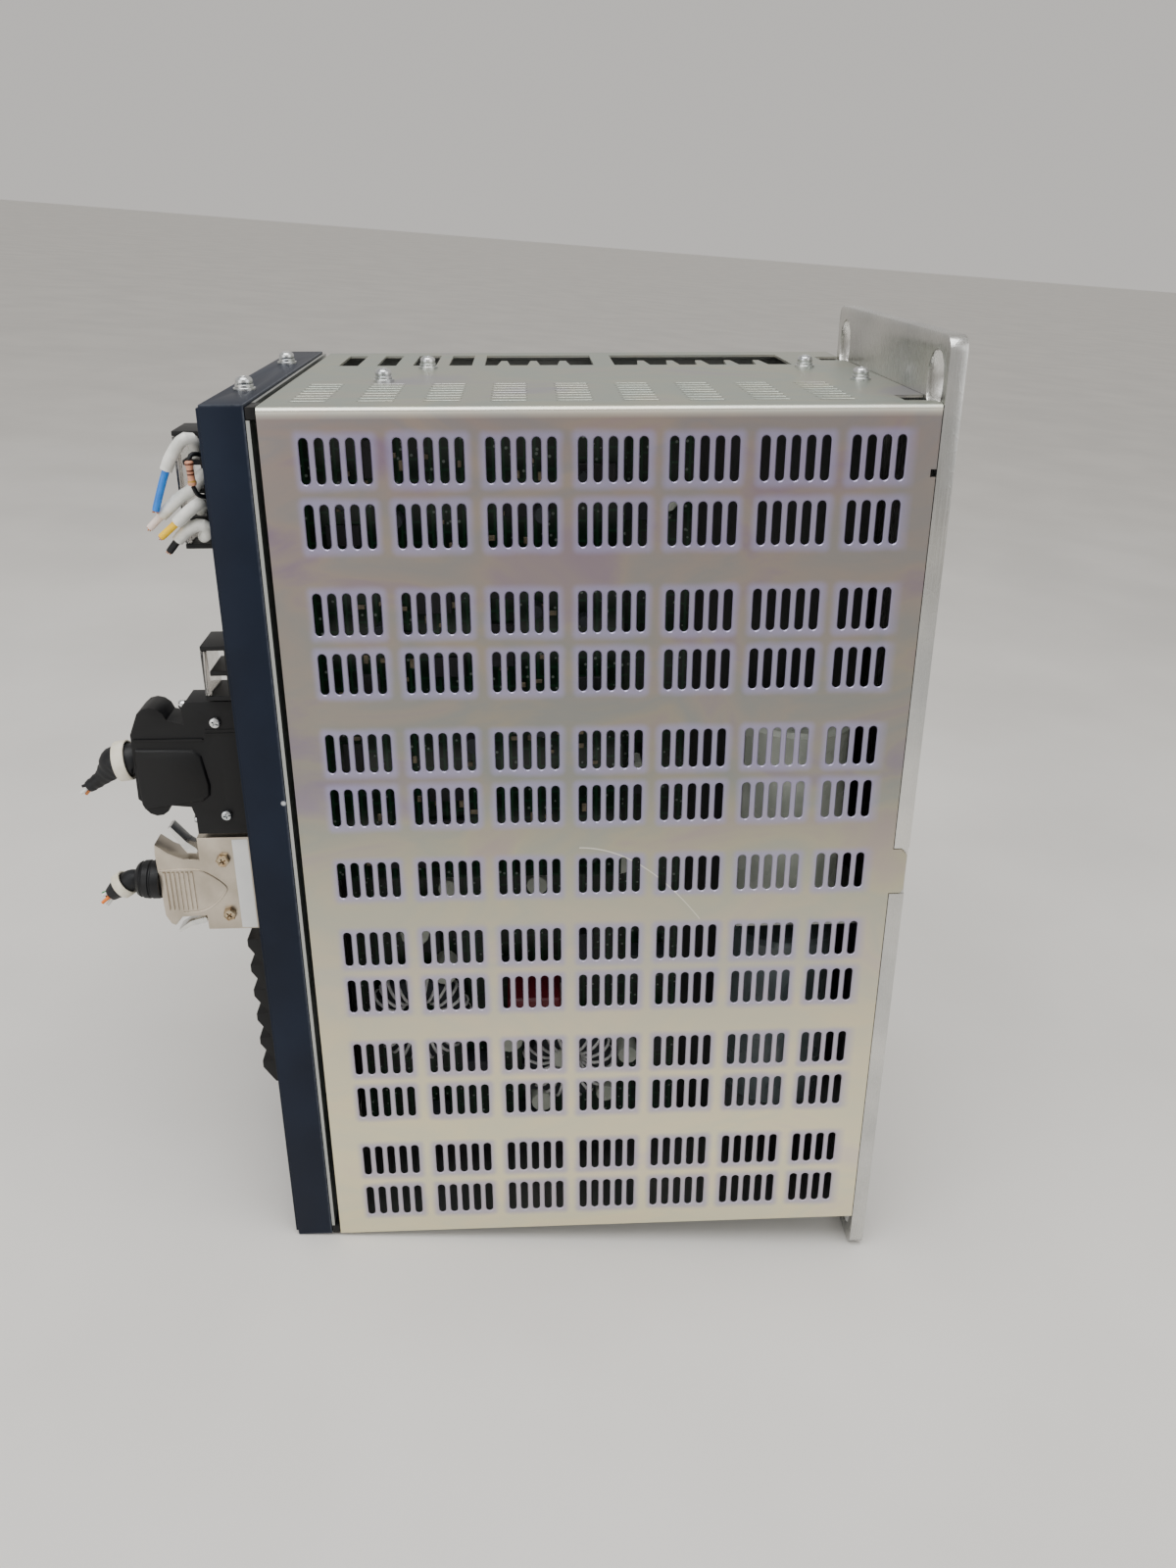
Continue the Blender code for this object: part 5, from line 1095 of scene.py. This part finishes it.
# %% Taped stub on the black plug
def stub(name, points, radii, node, body, finish, wrap=0.0):
    route = flowing(points, 0.8)
    marks, run = [0.0], 0.0
    for first, second in zip(points, points[1:]):
        run += (Vector(second) - Vector(first)).length
        marks.append(run)
    sized, gone = [], 0.0
    for at, point in enumerate(route):
        gone += (point - route[at - 1]).length if at else 0.0
        share = min(gone, run - 1e-6)
        step = max(index for index, mark in enumerate(marks[:-1]) if mark <= share)
        part = (share - marks[step]) / (marks[step + 1] - marks[step])
        radius = radii[step] * (1 - part) + radii[step + 1] * part
        sized.append(radius - wrap * ((gone / 3.2) % 1.0))
    bm = bmesh.new()
    tube(bm, route, sized, sides=28)
    return settle(name, mesh_of(bm), [finish], body, [node], 50)


def cut_wires(name, end, along, finishes, body, length, spread, radius):
    """Short cut wires that fan out of a cable's end, each with its own colour."""
    bm = bmesh.new()
    along = Vector(along).normalized()
    aside = Vector((1, 0, 0))
    other = along.cross(aside)
    for number in range(len(finishes)):
        angle = math.tau * number / len(finishes)
        out = aside * math.cos(angle) + other * math.sin(angle)
        reach = length * (0.75 + 0.25 * math.cos(2.4 * number))
        points = [Vector(end) + along * gone + out * spread * share for gone, share in (
            (-3, 0.5), (0.2, 0.8), (reach * 0.5, 1.2), (reach, 1.5))]
        tube(bm, points, [radius, radius, radius, radius * 0.96], sides=10,
             finish_of=lambda step: number)
    return settle(name, mesh_of(bm), finishes, body)


cable_start = Vector((48.0, -343.3, 39.7))
steps = ((0.0, 0.0, 6.5), (-2.0, 0.2, 7.6), (-9.5, -1.0, 7.6), (-12.5, -4.0, 6.0),
         (-17.0, -8.5, 3.8), (-23.5, -13.0, 3.0))
taped = stub("signal_taped_end", [cable_start + Vector((0, y, z)) for y, z, r in steps],
             [r for y, z, r in steps], "signal_cable", "signal_plug", black_pvc, wrap=0.35)
tail = cable_start + Vector((0, -23.5, -13.0))
cut_wires("signal_cut_wires", tail, (0, -0.82, -0.57),
          [milk_sleeve, black_pvc, milk_sleeve, copper_strand], "signal_plug",
          4.0, 1.3, 0.75)
# The metal plug's cable leaves at the middle of its flange's height.
boot_start = Vector((48.0, box_mm("encoder_boot")[1].y, (2.7 - 45.8) / 2))
bm = bmesh.new()
boot_axis = Vector((0, -1, 0.04)).normalized()
boot_profile = [
    (0, 0), (8.8, 0), (9.1, 0.8), (9.2, 3.6), (8.7, 4.1), (8.7, 4.6), (9.2, 5.1), (9.0, 7.6),
    (8.4, 8.1), (8.3, 8.6), (8.6, 9.1), (7.8, 10.4), (6.4, 11.3), (5.0, 11.5), (0, 11.5)]
lathe(bm, boot_profile, 32, boot_start, boot_axis)
settle("encoder_rubber_boot", mesh_of(bm), [black_pvc], "encoder_plug",
       ["encoder_boot"], 40)
encoder_end = boot_start + boot_axis * 11.8
steps = ((0.0, 0.0, 4.2), (-1.6, 0.06, 4.6), (-3.4, -0.7, 4.8), (-9.0, -4.6, 4.8),
         (-13.0, -7.8, 3.4))
stub("encoder_cut_cable", [encoder_end + Vector((0, y, z)) for y, z, r in steps],
     [r for y, z, r in steps], "encoder_cable", "encoder_plug", black_pvc)
cut_wires("encoder_cut_wires", encoder_end + Vector((0, -13.0, -7.8)), (0, -0.78, -0.62),
          [orange_pvc, milk_sleeve, green_pvc, black_pvc, copper_strand, milk_sleeve],
          "encoder_plug", 5.0, 1.9, 0.85)
print("taped stub", len(taped.data.polygons), "faces, ends at", tuple(round(v, 1) for v in tail))

# %% Blank marker rings
def marker(name, node, place, axis, outer, inner, width, body):
    bm = bmesh.new()
    lathe(bm, [(inner, 0.2), (inner + 0.2, 0), (outer - 0.25, 0), (outer, 0.25),
               (outer + 0.06, width / 2), (outer, width - 0.25), (outer - 0.25, width),
               (inner + 0.2, width), (inner, width - 0.2), (inner, 0.2)], 36, place, axis)
    bmesh.ops.remove_doubles(bm, verts=bm.verts, dist=1e-6)
    return settle(name, mesh_of(bm), [cream_tube], body, [node], 60)


signal_along = Vector((0, -7.5, -1.2)).normalized()
marker("signal_blank_marker", "signal_marker",
       cable_start + Vector((0, -2, 0.2)) + signal_along, signal_along, 9.2, 8.2, 5.5, "signal_plug")
encoder_along = Vector((0, -5.6, -3.9)).normalized()
marker("encoder_blank_marker", "encoder_marker",
       encoder_end + Vector((0, -3.4, -0.7)) + encoder_along * 1.4, encoder_along,
       6.3, 5.3, 4.5, "encoder_plug")
print("two blank markers")

# %% [markdown]
# ## Terminal covers
# Each barrier block has a clear moulded cover on a snap hinge, so that a finger can't touch the
# screws. It is a thin bent plate of polycarbonate. The copy of the CAD plate gets small rounded
# edges, because a clear part shows mostly as bright edge lines.

# %% Clear covers, and the terminal screws under them
for place in ("upper", "middle"):
    softened(f"{place}_terminal_cover", f"{place}_clear_cover", clear_cover, 0.2)
terminal_screw = carved(turned([
    (0, -2), (1.5, -2), (1.5, 0), (3.2, 0), (3.2, 0.5), (2.7, 0.6), (2.7, 1.6), (2.3, 2.2),
    (0, 2.2)], 16, "terminal_screw"), cross_cut(1.7, 0.4, 1.1, 2.2))
bezel_face = bezel_low.y / MM
POLE_PITCH, END_WALL, HALF_POLE = 11.3, 2.0, 4.65
block_high = box_mm("upper_terminal_block")[1]
poles = [box_mm(f"{place}_terminal_block")[0].z + END_WALL + HALF_POLE + POLE_PITCH * at
         for place, count in (("upper", 4), ("middle", 2)) for at in range(count)]
screw_spots = [((48.0, bezel_face - 8.0, z), (0, -1, 0), 25 * at) for at, z in enumerate(poles)]
repeat("terminal_screws", terminal_screw, screw_spots, bright_zinc, "drive")
print(len(screw_spots), "terminal screws")

# %% [markdown]
# ## Cut leads
# Four short leads stick out of the upper block, cut when the drive was taken down. Each has a milky sleeve,
# and its own coloured wire shows at the cut end. They are free cords, so each follows the route of its CAD
# solid.

# %% Lead routes, from the block's near side, the bezel's face and the block's top
route_origin = Vector((block_high.x, bezel_face, block_high.z))
lead_routes = {
    "lead_blue": (0.66, blue_pvc, (
        (0.4, -9.5, -8.0), (2.4, -9.5, -8.0), (5.0, -8.3, -4.6), (8.2, -8.8, -1.6),
        (9.4, -12.0, -2.5), (9.5, -17.0, -9.0), (9.5, -21.0, -17.7), (9.5, -25.4, -29.4))),
    "lead_white": (0.78, pink_pvc, (
        (0.4, -7.5, -17.0), (2.4, -7.5, -17.0), (5.0, -9.0, -19.6), (6.4, -11.5, -22.2),
        (6.5, -16.1, -25.0), (6.5, -22.0, -30.0), (6.5, -29.6, -37.0))),
    "lead_yellow": (0.76, yellow_pvc, (
        (0.4, -9.5, -30.5), (2.4, -9.5, -30.5), (6.0, -8.0, -28.0), (10.0, -8.0, -26.6),
        (12.0, -11.5, -29.0), (12.0, -16.5, -33.3), (12.0, -24.0, -39.5))),
    "lead_black": (0.80, black_pvc, (
        (0.4, -9.5, -41.5), (2.4, -9.5, -41.5), (6.0, -7.2, -39.4), (9.0, -6.2, -36.2),
        (9.2, -10.0, -35.4), (9.0, -15.9, -38.9), (8.5, -22.5, -46.2))),
}
for node, (share, tip, points) in lead_routes.items():
    route = flowing([route_origin + Vector(point) for point in points], 2.0)
    last = round(share * (len(route) - 1))
    edge = (route[last + 1] - route[last]) * 0.04
    spine = [*route[:last + 1], route[last] + edge, route[last] + edge * 0.2, *route[last + 1:]]
    radii = [2.5] * last + [2.45, 2.2, 1.55] + [1.5] * (len(route) - last - 1)
    radii[-1] = 1.45
    bm = bmesh.new()
    tube(bm, spine, radii, sides=20, finish_of=lambda step: 0 if step < last + 1 else 1)
    end, before = route[-1], route[-2]
    along = (end - before).normalized()
    for strand in range(6):
        out = Matrix.Rotation(math.tau * strand / 6, 3, along) @ along.orthogonal()
        reach = 0.5 + 0.25 * (strand % 3)
        tube(bm, [end - along * 0.3 + out * 0.6, end + along * reach + out * 0.7],
             [0.3, 0.26], sides=6, finish_of=lambda step: 2)
    piece = settle(f"{node}_sleeved", mesh_of(bm), [milk_sleeve, tip, copper_strand], "drive",
                   [node], 40)

# %% [markdown]
# ## The resistor
# A carbon-film resistor bridges two poles, its wires in black sleeves. The body is a lacquered
# barrel with swollen ends and paint bands, so it is turned on a lathe, and each band is its own
# strip of faces.

# %% Barrel, bands and sleeved wires
resistor_lacquer = grained("salmon_resistor_lacquer", ("#C98A6C", "#DDA284"), (0.22, 0.34),
                           0.8, 0.02, mottle=5.0)
band_paint = grained("brown_band_paint", ("#4A2418", "#66331F"), (0.3, 0.42), 0.8, 0.02, mottle=5.0)
gold_paint = grained("gold_band_paint", ("#A07B2C", "#C29A45"), (0.25, 0.38), 0.8, 0.02, mottle=5.0)
top_point = route_origin + Vector((13.5, -9.0, -9.2))
low_point = route_origin + Vector((13.5, -8.6, -19.1))
barrel_axis = (low_point - top_point).normalized()
barrel_length = (low_point - top_point).length
profile = [
    (0, 0), (0.9, 0), (1.5, 0.3), (1.75, 0.9), (1.75, 1.6), (1.5, 2.3), (1.42, 2.8), (1.42, 3.5),
    (1.42, 4.2), (1.42, 4.9), (1.42, 5.6), (1.42, 6.3), (1.42, 7.0), (1.5, 7.6), (1.75, 8.3),
    (1.75, 9.0), (1.5, 9.6), (0, barrel_length)]
bm = bmesh.new()
lathe(bm, profile, 20, top_point, barrel_axis)
bands = {3: 1, 7: 1, 9: 1, 13: 2}
for face in bm.faces:
    run = (face.calc_center_median() / MM - top_point).dot(barrel_axis)
    step = max(index for index, (radius, height) in enumerate(profile) if height <= run + 1e-3)
    face.material_index = bands.get(step, 0)
sleeve_steps = (((0.6, -3.0, -14.0), (6.0, -4.5, -9.0), (12.0, -7.5, -7.0), (13.4, -9.0, -9.1)),
                ((13.4, -8.5, -19.2), (12.0, -7.0, -23.0), (6.0, -3.5, -24.5), (0.6, -3.0, -24.5)))
for points in sleeve_steps:
    route = flowing([route_origin + Vector(point) for point in points], 1.0)
    tube(bm, route, [0.9] * len(route), sides=12, finish_of=lambda step: 3)
resistor = settle("banded_resistor", mesh_of(bm),
                  [resistor_lacquer, band_paint, gold_paint, black_pvc], "drive", ["resistor"], 40)
print(len(resistor.data.polygons), "faces on the resistor")

# %% [markdown]
# ## Inside the case
# Behind the slots lie two green circuit boards, capacitors, chokes and a relay. They only show
# through 3.5 mm slots, so their colours and outlines matter more than their detail. Small parts
# are strewn on the boards by Geometry Nodes from a fixed seed, as a real board is full of them.

# %% Circuit board finish: green solder mask over copper tracks
board_green, tree, shader, place = new_finish("green_solder_mask")
# Fields of copper about 8 mm long and 4 mm wide, coarser than real ones, so that they show.
tracks = add(tree, "ShaderNodeTexBrick", {
    "Vector": add(tree, "ShaderNodeMapping", {"Vector": place, "Rotation": (0, math.pi / 2, 0)}),
    "Scale": 60.0, "Color1": linear("#07180F"), "Color2": linear("#0A2215"),
    "Mortar": linear("#123722"), "Mortar Size": 0.03})
pads = add(tree, "ShaderNodeTexVoronoi", {"Vector": place, "Scale": 260.0})
tinned = add(tree, "ShaderNodeMapRange", {
    "Value": pads, "From Min": 0.14, "From Max": 0.18, "To Min": 1.0, "To Max": 0.0})
mask = add(tree, "ShaderNodeMix", {"Factor": tinned, "A": tracks, "B": linear("#6F7A72")},
           data_type="RGBA")
wet = add(tree, "ShaderNodeMapRange", {"Value": tinned, "To Min": 0.3, "To Max": 0.45})
feed(shader, {"Base Color": mask, "Roughness": wet})
print(board_green.name)

# %% Strewn parts on the boards
strewing, given = new_rule("strewn_parts", (
    ("Part", "Object"), ("Per square metre", "Float"), ("Apart", "Float"), ("Seed", "Int")))
part = add(strewing, "GeometryNodeObjectInfo", {"Object": given["Part"]})
spread = add(strewing, "GeometryNodeDistributePointsOnFaces", {
    "Mesh": given["Geometry"], "Distance Min": given["Apart"],
    "Density Max": given["Per square metre"], "Seed": given["Seed"]}, distribute_method="POISSON")
quarter = add(strewing, "FunctionNodeRandomValue", {"Min": 0, "Max": 3, "Seed": given["Seed"]},
              data_type="INT")
angle = add(strewing, "ShaderNodeMath", {0: quarter, 1: math.pi / 2}, operation="MULTIPLY")
size = add(strewing, "FunctionNodeRandomValue", {"Min": 0.7, "Max": 1.25, "Seed": given["Seed"]},
           data_type="FLOAT")
laid = add(strewing, "GeometryNodeInstanceOnPoints", {
    "Points": spread, "Instance": part.outputs["Geometry"],
    "Rotation": add(strewing, "ShaderNodeCombineXYZ", {"X": angle}), "Scale": size})
end_rule(strewing, laid, given)


def strew(name, board, part, density, apart, seed, finish, slot_name):
    """Parts on a board's near face, inside its edges. A part stands along +X from its origin."""
    low, high = (Vector(corner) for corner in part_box(board))
    rim = 9 * MM
    ground = bpy.data.meshes.new("ground")
    ground.from_pydata([(high.x, y, z) for y, z in (
        (low.y + rim, low.z + rim), (high.y - rim, low.z + rim),
        (high.y - rim, high.z - rim), (low.y + rim, high.z - rim))], [], [(0, 1, 2, 3)])
    pattern = in_scene("pattern", part)
    mesh = baked(ground, strewing, {
        "Part": pattern, "Per square metre": density, "Apart": apart * MM, "Seed": seed,
        "Finish": finish})
    bpy.data.objects.remove(pattern)
    return settle(name, mesh, [finish], nodes[board]["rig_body"])


def standing(height, low, high):
    bm = bmesh.new()
    block(bm, (-0.05, low[0], low[1]), (height, high[0], high[1]))
    bmesh.ops.bevel(bm, geom=bm.edges[:], offset=0.25 * MM, segments=1, affect="EDGES")
    return mesh_of(bm, "part")


def upright_can(radius, height):
    bm = bmesh.new()
    lathe(bm, [(0, -0.05), (radius, -0.05), (radius, 0.8), (radius * 0.94, 1.1), (radius, 1.4),
               (radius, height - 0.4), (radius - 0.4, height), (0, height - 0.2)],
          12, axis=(1, 0, 0))
    return mesh_of(bm, "can")


strewn = [strew(f"{board}_{kind}", f"{board}_board", part, *rule, "board")
          for board, kind, part, *rule in (
    ("control", "chips", standing(2.2, (-5, -8), (5, 8)), 1400, 17, 3, matt_chip),
    ("control", "small_parts", standing(1.1, (-1, -1.8), (1, 1.8)), 9000, 5, 11, buff_ceramic),
    ("control", "cans", upright_can(3.1, 9.0), 1100, 20, 21, dark_ferrite),
    ("power", "cans", upright_can(6.0, 16.0), 700, 26, 5, can_film),
    ("power", "blocks", standing(11.0, (-5, -8), (5, 8)), 800, 25, 9, dark_ferrite),
)]
print({piece.name: len(piece.data.polygons) for piece in strewn})

# %% [markdown]
# ## Choke windings
# Each choke is a ferrite ring wound with pale enamelled wire. One turn of wire is an oblong loop
# round the ring's tube, and Geometry Nodes lay it round the ring, evenly, as a winding machine
# does. The ring itself stays the CAD node.

# %% One turn, repeated round each ring
for number in (1, 2):
    node = f"choke_{number}"
    low, high, middle = box_mm(node)
    tube_r = (high.x - low.x) / 2
    ring_r = (high.y - low.y) / 2 - tube_r
    bm = bmesh.new()
    turns_per_ring = max(12, int(math.tau * (ring_r - tube_r) / 2.1))
    loop = [Vector(((tube_r + 0.55) * math.sin(a), 0, (tube_r + 0.55) * math.cos(a)))
            for a in (math.tau * step / 14 for step in range(15))]
    tube(bm, loop, [0.75] * 15, sides=6)
    places = []
    for at in range(turns_per_ring):
        angle = math.tau * (at + 0.5) / turns_per_ring
        out = Vector((0, math.cos(angle), math.sin(angle)))
        places.append((middle + out * ring_r, out, 0))
    repeat(f"choke_{number}_winding", mesh_of(bm, "one_turn"), places, white_winding,
           nodes[node]["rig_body"])
    print(node, turns_per_ring, "turns")

# %% [markdown]
# ## Finishes on the CAD nodes that stay
# Sheet parts, boards, cans and the fan keep their CAD shapes, which are right as they are. Each only needs
# its finish in its material slots; the partition's near black is painted shade.

# %% Assign the rest
fan_blade = grained("black_fan_moulding", ("#151618", "#1E2023"), (0.36, 0.5), 0.6, 0.04,
                    mottle=12.0)
staying = {
    # The partition's near black is painted shade.
    "chassis": zinc_sheet, "front_plate": zinc_sheet, "partition": partition_painted_shade,
    "capacitor_bracket": zinc_sheet,
    "heat_sink": drawn_aluminium, "power_module": black_nylon, "power_board": board_green,
    "control_board": board_green, "main_relay": maroon_case, "choke_1": dark_ferrite,
    "choke_2": dark_ferrite,
    "signal_socket": black_nylon, "encoder_socket": satin_nickel, "power_header": black_nylon,
    "fan_frame": fan_blade, "fan_rotor": fan_blade, "dc_capacitor_1": slate_film,
}
left_out = []
for name, node in nodes.items():
    finish = staying.get(name)
    if finish is None and name.startswith("dc_capacitor_"):
        finish = can_film
    if finish is None and "post" in name:
        finish = bright_zinc
    if finish is None:
        left_out.append(name)
        continue
    node.data.materials.clear()
    node.data.materials.append(finish)
shown = {piece.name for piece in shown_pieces()}
print("still without a finish:", [name for name in left_out if name in shown])

# %% Floor finish: pale honed stone
floor_stone = grained("pale_floor", ("#DAD8D4", "#E3E1DD"), (0.6, 0.75), 6.0, 0.1, mottle=220.0)
floor.data.materials.append(floor_stone)
print(floor_stone.name)
